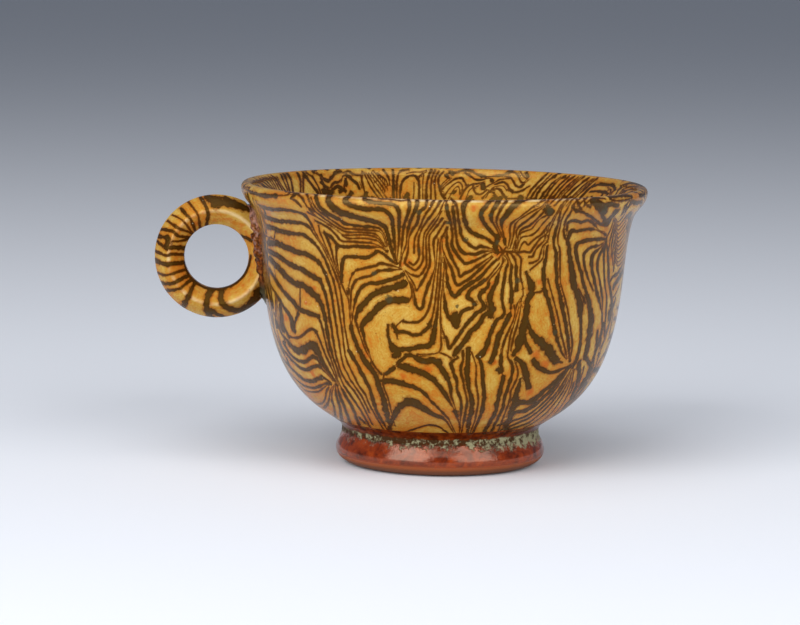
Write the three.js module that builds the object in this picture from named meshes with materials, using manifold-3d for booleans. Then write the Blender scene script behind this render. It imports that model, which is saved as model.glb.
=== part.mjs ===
// Ring-handled cup of marbled clay: a pressed bowl with a turned-out lip, a splayed ring foot and a
// coiled ring handle, the last two luted on with slip. Millimetres, +Z up, standing on Z = 0, with the
// handle towards -X and the origin under the middle of the whole cup.

import * as THREE from "three";
import { mergeVertices } from "three/addons/utils/BufferGeometryUtils.js";
import Module from "manifold-3d";

const wasm = await Module();
wasm.setup();

// Bowl sizes
const cupHeight = 62.4;
const rimRadius = 45;
const lipThickness = 2.4;
const lipHeight = 7.1;
const lipFlare = 3.1;
const bellyRadius = 39.8;
const bellyHeight = 40;
const wallThickness = 3.4;
const floorThickness = 4.6;

// Lean of the wall from upright at the belly and under the lip, and the bowl's rise from the foot
const bellyLean = THREE.MathUtils.degToRad(6.3);
const lipLean = THREE.MathUtils.degToRad(16);
const bowlRise = THREE.MathUtils.degToRad(28);

// Fullness of each curved stretch: how far it keeps the direction of its lower and of its upper end
const undersideFullness = [0.45, 0.23];
const bellyFullness = [0.67, 0.61];
const wallFullness = [0.4, 0.3];
const lipFullness = [0.42, 0.44];
const shoulderFullness = [0.4, 0.4];

// Foot sizes: the bowl meets the foot at footHeight, and its underside hangs lower in the middle
const footHeight = 9.1;
const footJointRadius = 22;
const undersideDrop = 2.5;
const neckRadius = 21.3;
const neckHollow = 0.2;
const footRadius = 22.7;
const footBulgeHeight = 3.2;
const footContactRadius = 18.9;
const footContactWidth = 2.6;
const footDraft = 1;

// Handle sizes: a coil of lozenge section, its inner edge worn flat, bent into a ring that stands a
// little lower than the rim
const ringRadius = 13.75;
const coilWidth = 6.6;
const coilDepth = 7.2;
const coilRoundness = 1.45;
const coilFlat = 0.5;
const ringTopDrop = 3.3;
const ringWeb = 1.65;

// Slip joints: the clear gap either side of the slip, its thickness, and how far it spreads past the coil
const jointGap = 0.3;
const slipThickness = 0.65;
const slipSpread = 1;

// Facets round each turned piece
const turnSegments = 64;
const ringSegments = 44;
const coilSides = 16;

// Facets up the bowl's underside, belly, wall and lip, and across the foot's seat
const outsideSteps = [5, 9, 4, 5];
const insideSteps = [3, 7, 3, 3];
const seatSteps = 5;

const slipLayer = jointGap + slipThickness + jointGap;

function point(radius, height) {
  return new THREE.Vector2(radius, height);
}

// A smooth curve that leaves one point and reaches the next along given directions, of a given fullness
function sweep(from, fromAngle, to, toAngle, span, fullness) {
  const leave = point(Math.cos(fromAngle), Math.sin(fromAngle)).multiplyScalar(span[0] * fullness[0]);
  const arrive = point(Math.cos(toAngle), Math.sin(toAngle)).multiplyScalar(span[1] * fullness[1]);
  return new THREE.CubicBezierCurve(from, from.clone().add(leave), to.clone().sub(arrive), to);
}

// Outside of the bowl, from the middle of its underside up to the edge of the lip
const upright = Math.PI / 2;
const undersideMiddle = point(0, footHeight - undersideDrop);
const footJoint = point(footJointRadius, footHeight);
const belly = point(bellyRadius, bellyHeight);
const lipRoot = point(rimRadius - lipFlare, cupHeight - lipHeight);
const lipEdge = point(rimRadius, cupHeight - lipThickness / 2);

const bellyWidth = bellyRadius - footJointRadius;
const bellyRise = bellyHeight - footHeight;
const wallRise = lipRoot.y - bellyHeight;
const lipRise = lipEdge.y - lipRoot.y;

const underside = sweep(
  undersideMiddle, 0, footJoint, bowlRise, [footJointRadius, footJointRadius], undersideFullness,
);
const bellyCurve = sweep(
  footJoint, bowlRise, belly, upright - bellyLean, [bellyWidth, bellyRise], bellyFullness,
);
const wallCurve = sweep(
  belly, upright - bellyLean, lipRoot, upright - lipLean, [wallRise, wallRise], wallFullness,
);
const lipCurve = sweep(
  lipRoot, upright - lipLean, lipEdge, upright, [lipRise, lipRise], lipFullness,
);

function clayThickness(height) {
  const sides = THREE.MathUtils.smoothstep(height, footHeight, bellyHeight);
  const lip = THREE.MathUtils.smoothstep(height, lipRoot.y, lipEdge.y);
  const body = THREE.MathUtils.lerp(floorThickness, wallThickness, sides);
  return THREE.MathUtils.lerp(body, lipThickness, lip);
}

// Points along the bowl's outside, each moved out along its normal by offset(height)
function bowlOutline([undersideSteps, bellySteps, wallSteps, lipSteps], offset) {
  const stretches = [
    [underside, undersideSteps],
    [bellyCurve, bellySteps],
    [wallCurve, wallSteps],
    [lipCurve, lipSteps],
  ];
  const outline = [];
  for (const [curve, steps] of stretches) {
    const first = outline.length === 0 ? 0 : 1;
    for (let i = first; i <= steps; i += 1) {
      const along = curve.getPoint(i / steps);
      const tangent = curve.getTangent(i / steps);
      const outward = point(tangent.y, -tangent.x);
      outline.push(along.addScaledVector(outward, offset(along.y)));
    }
  }
  outline[0].x = 0;
  return outline;
}

// Turns a radius and height outline about the cup's upright axis
function turned(outline) {
  const geometry = new THREE.LatheGeometry(outline, turnSegments);
  geometry.rotateX(upright);
  return geometry;
}

function bowlGeometry() {
  const outside = bowlOutline(outsideSteps, () => 0);
  const inside = bowlOutline(insideSteps, (height) => -clayThickness(height));
  const crest = new THREE.EllipseCurve(
    rimRadius - lipThickness / 2, lipEdge.y, lipThickness / 2, lipThickness / 2, 0, Math.PI,
  );
  const lipRound = crest.getPoints(6).slice(1, -1);
  return turned([...outside, ...lipRound, ...inside.reverse()]);
}

// Height of the bowl's underside at a radius, found by halving along its curve
function undersideAt(radius) {
  let low = 0;
  let high = 1;
  for (let i = 0; i < 40; i += 1) {
    const middle = (low + high) / 2;
    if (underside.getPoint(middle).x < radius) low = middle;
    else high = middle;
  }
  return underside.getPoint(low).y;
}

// Radius of the bowl's outside at a height on its belly or wall
function wallRadiusAt(height) {
  const curve = height < bellyHeight ? bellyCurve : wallCurve;
  let low = 0;
  let high = 1;
  for (let i = 0; i < 40; i += 1) {
    const middle = (low + high) / 2;
    if (curve.getPoint(middle).y < height) low = middle;
    else high = middle;
  }
  return curve.getPoint(low).x;
}

const footInnerRadius = footContactRadius - footContactWidth;
const seatInnerRadius = footInnerRadius - footDraft;

// Points across the foot's seat, from its inner to its outer edge, a given drop under the bowl
function seatLine(drop) {
  const line = [];
  for (let i = 0; i <= seatSteps; i += 1) {
    const radius = THREE.MathUtils.lerp(seatInnerRadius, neckRadius, i / seatSteps);
    line.push(point(radius, undersideAt(radius) - drop));
  }
  return line;
}

// Slip ring between bowl and foot, with the hollow neck that shows above the foot
function footLutingGeometry() {
  const top = seatLine(jointGap);
  const bottom = seatLine(jointGap + slipThickness);
  const neckTop = top.at(-1);
  const neckBottom = bottom.at(-1);
  const hollow = point(neckRadius - 2 * neckHollow, (neckTop.y + neckBottom.y) / 2);
  const neck = new THREE.QuadraticBezierCurve(neckBottom, hollow, neckTop).getPoints(4).slice(1, -1);
  return turned([...bottom, ...neck, ...top.reverse(), bottom[0]]);
}

// Splayed foot ring: a flat to stand on, a rounded bulge and a seat that follows the bowl's underside
function footRingGeometry() {
  const seat = seatLine(slipLayer);
  const seatEdge = seat.at(-1);
  const bulge = new THREE.EllipseCurve(
    footContactRadius, footBulgeHeight, footRadius - footContactRadius, footBulgeHeight, -upright, 0,
  );
  const shoulderHeight = seatEdge.y - footBulgeHeight;
  const shoulder = sweep(
    point(footRadius, footBulgeHeight), upright, seatEdge, upright,
    [shoulderHeight, shoulderHeight], shoulderFullness,
  );
  const stand = point(footInnerRadius, 0);
  const outside = [...bulge.getPoints(6), ...shoulder.getPoints(5).slice(1, -1)];
  return turned([stand, ...outside, ...seat.reverse(), stand.clone()]);
}

const ringHeight = cupHeight - ringTopDrop - ringRadius;
const holeRadius = ringRadius - coilWidth;
const ringCentre = -(wallRadiusAt(ringHeight) + slipLayer + ringWeb + holeRadius);

// Whole ring before it is pressed to the wall: a rounded lozenge turned about an axis along Y
function ringGeometry(growth) {
  const section = [];
  for (let i = 0; i <= coilSides; i += 1) {
    const angle = (i / coilSides) * 2 * Math.PI;
    const across = Math.cos(angle);
    const along = Math.sin(angle);
    const width = Math.sign(across) * Math.abs(across) ** (2 / coilRoundness);
    const depth = Math.sign(along) * Math.abs(along) ** (2 / coilRoundness);
    const reach = coilWidth / 2 + growth;
    const offset = width > 0 ? width * reach : Math.max(width * (reach + coilFlat), -reach);
    section.push(point(ringRadius - coilWidth / 2 + offset, depth * (coilDepth / 2 + growth)));
  }
  section[coilSides] = section[0].clone();
  const geometry = new THREE.LatheGeometry(section, ringSegments);
  return geometry.translate(ringCentre, 0, ringHeight);
}

// The bowl's outside grown by a clearance, closed straight across the mouth
function bowlEnvelope(clearance) {
  const outline = bowlOutline(outsideSteps, () => clearance);
  outline.push(point(0, outline.at(-1).y));
  return turned(outline);
}

function toSolid(geometry) {
  const bare = geometry.clone();
  bare.deleteAttribute("normal");
  bare.deleteAttribute("uv");
  const merged = mergeVertices(bare, 1e-4);
  const vertProperties = merged.attributes.position.array;
  const triVerts = new Uint32Array(merged.index.array);
  return new wasm.Manifold(new wasm.Mesh({ numProp: 3, vertProperties, triVerts }));
}

function toGeometry(solid) {
  const mesh = solid.getMesh();
  const geometry = new THREE.BufferGeometry();
  geometry.setAttribute("position", new THREE.BufferAttribute(mesh.vertProperties, 3));
  geometry.setIndex(new THREE.BufferAttribute(mesh.triVerts, 1));
  geometry.computeVertexNormals();
  return geometry;
}

// The coil ring, flattened where it is pressed towards the wall
function handleRingGeometry() {
  const ring = toSolid(ringGeometry(0));
  return toGeometry(ring.subtract(toSolid(bowlEnvelope(slipLayer))));
}

// The slip squeezed between ring and wall: a thin bed that follows the wall and spreads past the coil
function handleLutingGeometry() {
  const spread = toSolid(ringGeometry(slipSpread));
  const bed = spread.intersect(toSolid(bowlEnvelope(jointGap + slipThickness)));
  return toGeometry(bed.subtract(toSolid(bowlEnvelope(jointGap))));
}

const cup = new THREE.Group();
const wholeLeft = ringCentre - ringRadius;
cup.position.x = -(wholeLeft + rimRadius) / 2;

function addPiece(name, geometry, colour, roughness) {
  const material = new THREE.MeshStandardMaterial({ color: colour, roughness, metalness: 0 });
  const mesh = new THREE.Mesh(geometry, material);
  mesh.name = name;
  cup.add(mesh);
}

addPiece("bowl", bowlGeometry(), 0xc98a35, 0.25);
addPiece("foot_luting", footLutingGeometry(), 0x5a2412, 0.3);
addPiece("foot_ring", footRingGeometry(), 0x9a4420, 0.3);
addPiece("handle_luting", handleLutingGeometry(), 0x6e3516, 0.35);
addPiece("handle_ring", handleRingGeometry(), 0xd09038, 0.25);

export default cup;
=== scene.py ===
import math

import bpy
import numpy as np
from mathutils import Matrix, Vector
from mathutils.bvhtree import BVHTree
from mathutils.kdtree import KDTree


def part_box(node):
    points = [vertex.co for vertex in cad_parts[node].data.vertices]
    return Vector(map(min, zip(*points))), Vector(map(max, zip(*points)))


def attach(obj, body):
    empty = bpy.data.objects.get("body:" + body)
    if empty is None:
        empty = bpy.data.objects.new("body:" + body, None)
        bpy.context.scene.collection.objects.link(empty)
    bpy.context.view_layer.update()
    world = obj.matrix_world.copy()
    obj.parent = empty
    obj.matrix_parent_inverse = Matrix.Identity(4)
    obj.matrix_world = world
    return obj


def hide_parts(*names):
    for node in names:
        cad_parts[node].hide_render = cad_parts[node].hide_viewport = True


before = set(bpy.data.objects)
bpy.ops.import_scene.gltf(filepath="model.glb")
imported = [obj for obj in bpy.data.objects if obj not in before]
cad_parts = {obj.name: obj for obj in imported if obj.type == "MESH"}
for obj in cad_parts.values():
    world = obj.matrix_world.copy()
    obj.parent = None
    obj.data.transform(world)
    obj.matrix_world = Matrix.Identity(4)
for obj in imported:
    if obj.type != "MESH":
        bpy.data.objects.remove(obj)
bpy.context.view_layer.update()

# Sizes in millimetres, for a rim of RIM_RADIUS. UNIT is one of these millimetres in the frame's metres.
RIM_RADIUS = 45.0
BOWL_LOW, BOWL_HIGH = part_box("bowl")
UNIT = (BOWL_HIGH.x - BOWL_LOW.x) / 2 / RIM_RADIUS
AXIS = (BOWL_HIGH.x + BOWL_LOW.x) / 2 / UNIT
CUP_HEIGHT = BOWL_HIGH.z / UNIT

# Bowl outline: the same driving sizes as the solid bowl
LIP_THICKNESS = 2.4
LIP_HEIGHT = 7.1
LIP_FLARE = 3.1
BELLY_RADIUS = 39.8
BELLY_HEIGHT = 40.0
WALL_THICKNESS = 3.4
FLOOR_THICKNESS = 4.6
FOOT_HEIGHT = 9.1
FOOT_JOINT_RADIUS = 22.0
UNDERSIDE_DROP = 2.5
BELLY_LEAN = math.radians(6.3)
LIP_LEAN = math.radians(16)
BOWL_RISE = math.radians(28)
UPRIGHT = math.pi / 2

# Reach of each curve's handles at its start and its end, as shares of its span
UNDERSIDE_FULLNESS = (0.45, 0.23)
BELLY_FULLNESS = (0.67, 0.61)
WALL_FULLNESS = (0.4, 0.3)
LIP_FULLNESS = (0.42, 0.44)
SHOULDER_FULLNESS = (0.4, 0.4)

# Foot and its dark neck, a little wider than the solids so that they fill the photograph's outline
FOOT_RADIUS = 23.3
FOOT_BULGE_HEIGHT = 3.2
FOOT_CONTACT_RADIUS = 18.9
FOOT_CONTACT_WIDTH = 2.6
FOOT_TOP_RADIUS = 21.9
FOOT_TOP = 7.5
RECESS_LEAN = 1.0
RECESS_DROP = 0.9
RECESS_BEVEL = (0.1, 0.4)
NECK_TOP_RADIUS = 23.9
NECK_HOLLOW = 0.35
NECK_SKIN = 0.08
NECK_INNER_RADIUS = 17.0
NECK_LAP_OUT = 0.15
NECK_LAP_DOWN = 0.5
NECK_TUCK = 3
NECK_INNER_DROP = 0.9
NECK_INNER_BELOW = 0.4

# Handle: a coil of rounded lozenge section bent into a ring
RING_LOW, RING_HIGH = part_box("handle_ring")
RING_RADIUS = (RING_HIGH.z - RING_LOW.z) / 2 / UNIT
RING_X = RING_LOW.x / UNIT + RING_RADIUS
RING_Z = RING_LOW.z / UNIT + RING_RADIUS
COIL_WIDTH = 6.6
COIL_DEPTH = 7.2
COIL_ROUNDNESS = 1.3
COIL_FLAT = 0.5
# Rust orange on the coil's inner half, partly painted shade: its share, middle radius and half width
INNER_RUST_AND_SHADE = 0.42
INNER_RUST_AND_SHADE_RADIUS = 8.6
INNER_RUST_AND_SHADE_WIDTH = 2.6
# Share of the coil's depth from which its front and back ridges carry a painted highlight
RIDGE_HIGHLIGHT_FROM = 0.92
SLIP_LAYER = 0.95
SLIP_SPREAD = 2.2
SLIP_BEAD = 1.6
SLIP_BEAD_LOW = 0.7
SLIP_LUMPS = 0.13
SLIP_SUNK = 0.6
SLIP_BELOW = 1.0
SLIP_ROUNDED = 0.4
SLIP_BORDER = 0.02
LUMP_RATE = 1.9
LUMP_BEND = 2
LUMP_BEND_RATE = 1.1
FINE_LUMP_RATE = 3.3
FINE_LUMP_SLANT = 1.6

# Mesh fineness
BOWL_SEGMENTS = 800
FRONT_CROWDING = 0.2
BOTH_ENDS_CROWDING = 0.1
UNDERSIDE_ROWS = 6
BODY_ROWS = 212
CREST_ROWS = 10
INSIDE_ROWS = 160
INSIDE_CROWDING = 1.35
FOOT_SEGMENTS = 200
RING_SEGMENTS = 420
COIL_SIDES = 96
SLIP_ROWS = 120
SLIP_COLUMNS = 64
BULGE_ROWS = 20
SHOULDER_ROWS = 16
NECK_ROWS = 18

# Corners of a face in the order seen from its other side, and a length that counts as none
OTHER_WAY_ROUND = [0, 3, 2, 1]
TINY = 1e-9

# Camera, fitted to the rim, wall and foot outlines in the photograph
IMAGE_WIDTH = 800
IMAGE_HEIGHT = 625
FOCAL_PIXELS = 3164.8
CAMERA_PLACE = Vector((AXIS - 9.40, -700.0, 119.0))
CAMERA_PITCH = math.radians(6.978)
CAMERA_ROLL = math.radians(0.88)
PIXEL = -CAMERA_PLACE.y / FOCAL_PIXELS
SENSOR_WIDTH = 36.0
NEAR_CLIP_METRES = 0.01
FAR_CLIP_METRES = 50
CAMERA_TURN = Matrix.Rotation(UPRIGHT - CAMERA_PITCH, 3, "X") @ Matrix.Rotation(CAMERA_ROLL, 3, "Z")

# Dark stripes of the marbling, drawn over the photograph. Each stripe is its width at the start
# and at the end, then the points it runs through, all in the photograph's pixels.
LEFT_STRIPES = [
    (5, 2, 262, 207, 272, 209.5, 282, 209.5, 292, 211, 300, 213, 306, 216, 311, 224),
    (2, 1.5, 311, 224, 319, 239, 326, 250, 332, 262, 337, 272, 341, 282, 347, 297),
    (4.5, 2.5, 265, 217, 273, 219.5, 282, 221.5, 292, 222, 302, 223.5, 309, 227, 315, 236),
    (1.8, 1.5, 315, 236, 321, 245, 327, 256, 333, 269, 338, 282, 341, 294, 343, 310, 345, 328, 349, 351),
    (3, 4, 349, 351, 354, 359, 358, 366, 362, 374, 366, 381, 370, 389, 372, 397, 377, 412, 381, 419),
    (5, 3, 267, 226, 275, 229, 282, 231.5, 292, 233.5, 302, 234.5, 308, 237.5, 315, 244),
    (2.2, 1.4, 315, 244, 321, 252, 326, 262, 330, 272, 334, 283, 338, 304, 342, 330, 345, 355),
    (1.6, 2, 345, 355, 347, 361, 350, 368, 355, 378, 358, 384, 362, 390, 366, 396, 369, 404, 377, 418),
    (6, 4, 268, 243, 277, 243.5, 286, 247.5, 296, 251.5, 305, 254, 312, 257, 319, 263),
    (3, 1.5, 319, 263, 324, 271, 328, 281, 331, 292, 333, 304, 335, 317, 337, 330, 341, 355),
    (1.5, 2, 341, 355, 343.5, 366, 347, 373, 350, 379, 354, 385, 358, 391, 362, 397, 366, 405, 369, 412),
    (5, 4.5, 269, 251.5, 276, 254.5, 283, 259.5, 291, 264.5, 298, 268, 305, 271.5, 313, 276.5, 319, 280),
    (2.8, 1.5, 319, 280, 323, 287, 326, 297, 328, 307, 332, 332, 336, 356, 339, 366, 342, 374, 346, 381),
    (1.8, 2, 346, 381, 350, 386, 354, 391, 358, 397, 362, 404, 367, 414),
    (6, 6, 270, 259, 276, 265, 282, 272, 289, 279, 296, 283.5, 303, 285.5, 310, 291, 317, 297),
    (4, 1.4, 317, 297, 321, 304, 324, 314, 326, 324, 330, 346, 333, 357, 337, 368, 340, 377, 344, 386),
    (2, 2.5, 344, 386, 349, 393, 353, 399, 357, 405, 361, 411, 365, 418),
    (4, 4.5, 270, 270, 276, 280.5, 282, 289.5, 288, 296.5, 294, 302.5, 299, 309, 305, 311.5, 318, 316),
    (2, 1.4, 318, 316, 321, 323, 323, 331, 325, 340, 328, 351, 332, 362, 335, 371, 338, 380, 342, 389),
    (3, 3.5, 342, 389, 347, 398, 351, 405, 354, 411, 357, 419),
    (2.5, 4, 268, 280, 273, 289, 278, 297, 283, 306, 288, 313, 291.5, 320, 293, 328),
    (2.5, 3, 293.3, 328, 295, 322, 298, 314),
    (1.5, 1.2, 300.3, 284, 300, 297, 300.3, 308),
    (1.6, 1.2, 264, 250, 264.6, 262, 265, 275, 265.6, 287, 267, 300),
    (2, 3, 290.5, 336.8, 294.5, 337.8, 299, 337.3, 304, 334, 308, 330.5, 312, 329, 316, 331.5),
    (2, 1.4, 316, 331.5, 319, 338, 322, 346, 326, 356, 331, 367, 335, 376, 338, 384),
    (1.5, 8, 283, 335, 288, 342, 292, 347, 297, 350.5, 303, 350),
    (8, 6, 303, 350, 309, 346, 314, 345, 317, 351),
    (4.5, 1.6, 317, 351, 321, 359, 326, 367, 331, 375, 335, 381),
    (1.3, 1.2, 318.8, 226.8, 320, 232.3, 324.8, 243.8, 329.7, 255.3, 334.5, 266.2, 338.8, 274.7),
    (2.5, 1.2, 324.8, 234, 327.3, 239, 331, 248.6, 333.3, 258.3, 337, 268.6),
    (2.5, 1, 336.4, 246.8, 336.4, 253.5, 336.5, 258.3, 338.2, 268, 339.4, 272.3),
    (1.2, 1.2, 253, 199, 258, 215, 262, 232, 264.5, 248, 266, 265, 268.5, 285, 271, 305, 274, 325),
    (1.5, 1.5, 256, 201, 260, 216, 263.8, 233, 266, 250, 268, 268, 270.5, 288, 273, 306, 276.5, 326),
    (1.5, 1.5, 266, 285, 268, 300, 271, 316, 275, 332, 281, 348),
    (2, 2, 268, 290, 271, 302, 275, 316, 279, 328, 285, 341),
]
LOWER_LEFT_STRIPES = [
    (2.5, 4, 284, 344, 288, 351, 293, 357, 298, 360.5, 303, 362, 307, 361, 310, 358, 313, 356.5, 316, 358),
    (3, 1.5, 316, 358, 320, 363, 325, 369, 330, 376, 335, 382),
    (2.5, 4, 283, 349, 289, 357, 295, 363.5, 301, 368, 306, 369.5, 311, 368, 316, 366, 320, 367),
    (2.5, 1.5, 320, 367, 324, 371, 328, 375, 332, 380),
    (3, 4.5, 279, 352, 285, 361, 291, 368, 296, 373, 301, 377.5, 306, 380.5, 312, 381, 318, 379, 322, 377.5),
    (3, 1.5, 322, 377.5, 326, 379, 330, 382),
    (2, 3.5, 291, 374, 297, 380, 303, 385, 308, 387, 313, 388, 318, 387, 321, 385.5, 326, 383.5, 330, 384),
    (1.5, 2, 301, 387, 306, 390.5, 312, 392, 318, 391.5, 322, 389, 326, 386),
    (1.5, 2, 312, 401, 318, 404, 323, 402.5, 325.5, 397, 326.5, 391, 329, 387),
    (2.5, 2, 324, 408, 328, 403, 329.5, 396, 330.5, 390, 332, 387),
    (2.5, 2.5, 335, 414, 334, 407, 332, 400, 332, 393, 334, 386),
    (3, 3, 341, 415, 340, 408, 338, 401, 336, 394, 335.5, 386),
    (3, 3.5, 348, 417, 344.5, 407, 341, 399, 339, 392, 337, 385),
]
TOP_STRIPES = [
    (4, 2.5, 366, 193.5, 365, 199, 373, 202, 380, 203, 390, 204, 396, 207, 399, 214, 399, 228, 398.5, 245,
     397, 262),
    (4.5, 3, 351, 193.5, 345, 200.5, 348.5, 204, 355, 207, 365, 209, 380, 209.5, 387, 212, 391, 217,
     393, 226, 396, 261),
    (6, 3, 331, 192.5, 329, 198.5, 330, 204, 334, 209, 341, 213, 356, 217, 365, 219.5, 380, 224, 386, 229,
     391, 248, 397, 263),
    (3.5, 2, 315.7, 193.5, 318, 204, 324, 211, 332, 216, 340, 220, 346, 224, 360, 226, 380, 229,
     388.5, 246, 395, 262),
    (1.5, 1.5, 311, 198, 314, 205, 320, 212, 336, 223, 344, 228, 352, 229, 372, 230.5, 381, 233, 387, 246),
    (1.5, 1.5, 308, 200, 311, 206, 317, 213, 332, 224, 340, 229, 347, 232, 365, 232.5, 377, 235, 385, 246),
    (1.5, 1.5, 305, 203, 309, 209, 315, 215, 330, 225, 338, 231, 345, 235, 365, 235, 377, 238, 384, 246),
    (1.5, 1.5, 309, 213, 316, 217, 324, 222, 332, 227, 340, 233, 347, 238, 365, 238.5, 377, 241, 384, 247),
    (2, 2, 316, 221, 322, 224, 330, 229, 336, 235, 342, 241, 355, 242, 373, 243.5, 384, 248.5),
    (3, 3, 325, 233, 332, 238, 336, 243, 342, 246.5, 355, 246.5, 372, 247, 380, 247.5, 386, 251),
]
ARCHES = [
    (3.5, 3, 341, 283, 342, 268, 343.5, 259, 348, 256.5, 358, 257, 367, 257.5, 374, 254, 380, 252, 396, 264),
    (2.5, 2.5, 348, 290, 350, 282, 353, 274, 358, 270, 370, 267, 376, 265.5, 381, 263.5, 393, 266, 400, 268),
    (2, 3, 351, 314, 351, 300, 351.5, 290, 354, 283, 359, 278.5, 370, 276, 375, 273, 381, 270.5, 401, 269.5),
    (2.5, 4, 352, 322, 353.5, 309, 357, 295, 361, 288, 366, 284.5, 372, 283, 379, 283, 393, 279, 404, 274),
    (5, 6.5, 356, 318, 358, 311, 363, 305, 368, 299, 374, 294.5, 381, 291, 388, 288.5, 395, 287, 404, 284),
    (2, 6, 372, 362, 369, 352, 365, 342, 363, 333, 362, 326, 366, 321),
    (6, 6, 366, 321, 371, 315, 376, 310, 381, 305.5, 387, 302, 394, 300, 401, 300, 406, 300.5),
    (2, 2, 356, 322, 359, 332, 362, 341, 366, 351, 371, 360, 376, 368, 381, 374),
    (2, 2, 404, 272, 408, 280, 411, 288, 411.5, 296, 409, 301),
    (2.5, 2.5, 355, 271, 351, 277, 349, 284, 348, 294, 349, 305, 350, 318),
    (2.5, 4.5, 350, 318, 352, 331, 356, 343, 360, 352),
    (4.5, 5, 360, 352, 365, 361, 371, 369, 376, 376, 378, 384, 381, 392),
    (5, 7, 381, 392, 384, 400, 385.5, 408, 387, 416, 389, 425),
]
SWIRL = [
    (2.2, 1.5, 493, 252, 499, 252.5, 506, 251.5, 515, 252),
    (1.5, 1.5, 499.5, 246, 502.5, 251, 504.5, 257),
    (1.5, 1.5, 506, 247.5, 503, 252, 499.5, 257.5),
    (3.5, 2, 407, 195.5, 409.5, 204, 408.5, 212, 405, 222, 403, 232, 402, 242, 401, 254),
    (3.5, 2, 417, 200.5, 417, 206, 413, 215, 409, 225, 407, 235, 406, 245, 402, 256, 400, 264),
    (3, 2, 427, 201, 425, 207.5, 419.5, 212, 417.5, 222, 412, 231, 409, 238, 408, 250, 405, 262),
    (2.5, 1.5, 434, 200.5, 429, 209.5, 424, 217, 421, 225, 417, 233, 414.5, 240, 414, 252),
    (2.5, 2, 440, 201.5, 434.5, 211, 430, 217, 425, 224, 421, 231, 418.5, 240, 419, 256, 416, 263,
     413, 265, 410, 263),
    (2, 2, 444, 202, 439, 213, 433, 221, 428, 228, 424, 235, 423, 250, 423, 260, 420, 266, 415, 270,
     407, 265),
    (2, 2.5, 441, 212, 437, 220, 428, 233, 426, 240, 426.5, 262, 424, 270, 419, 276, 412, 275, 406, 271),
    (2, 3, 442, 219, 437, 226, 432, 232, 429, 239, 430, 262, 428, 270, 424, 278, 417, 290, 414, 284,
     406, 272),
    (2, 3, 445, 222, 437, 235, 433.5, 242, 435, 262, 434, 270, 430.5, 280, 427, 289, 424, 299, 423, 306.5),
    (3, 3, 423, 306.5, 419.5, 309, 416, 305, 414.5, 297, 413, 288, 409, 281),
    (1.5, 2, 438, 240, 437, 252, 436.5, 262, 435.5, 271, 433.5, 283, 432, 294, 430.5, 303, 428, 311),
    (2, 3, 428, 311, 424, 317.5, 419, 321.5, 413, 322.5, 408, 322.5, 403, 321),
    (2, 4, 440, 243, 439, 262, 438, 272, 437, 285, 435.5, 298, 434, 309, 432, 318, 429, 326),
    (4, 3, 429, 326, 424, 331.5, 418, 335, 412, 334.5, 406, 332.5, 400, 331.5, 396.5, 332),
    (3, 3.5, 393, 325.5, 395, 328.5, 397.5, 331.5),
    (3, 0.8, 396.8, 331.5, 397.2, 338),
    (1.2, 1.5, 396.8, 325.3, 403, 320),
    (2.5, 5, 447, 228, 444, 234, 440.5, 242, 441, 262, 440, 284, 438.5, 297, 437.5, 310, 434, 333,
     432.5, 342),
    (5, 4, 432.5, 342, 428, 346, 418, 347, 408, 349.5, 400, 350, 394, 350.5),
    (4, 2.5, 392.5, 349, 390, 342, 388, 334, 388, 326),
    (4.5, 8, 391.5, 345, 394, 350, 395.5, 353),
    (1.5, 2, 444, 270, 443, 282, 441.5, 295, 440.5, 308, 441, 336, 441, 347, 438, 352.5, 428, 354,
     418, 354.5),
]
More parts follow.
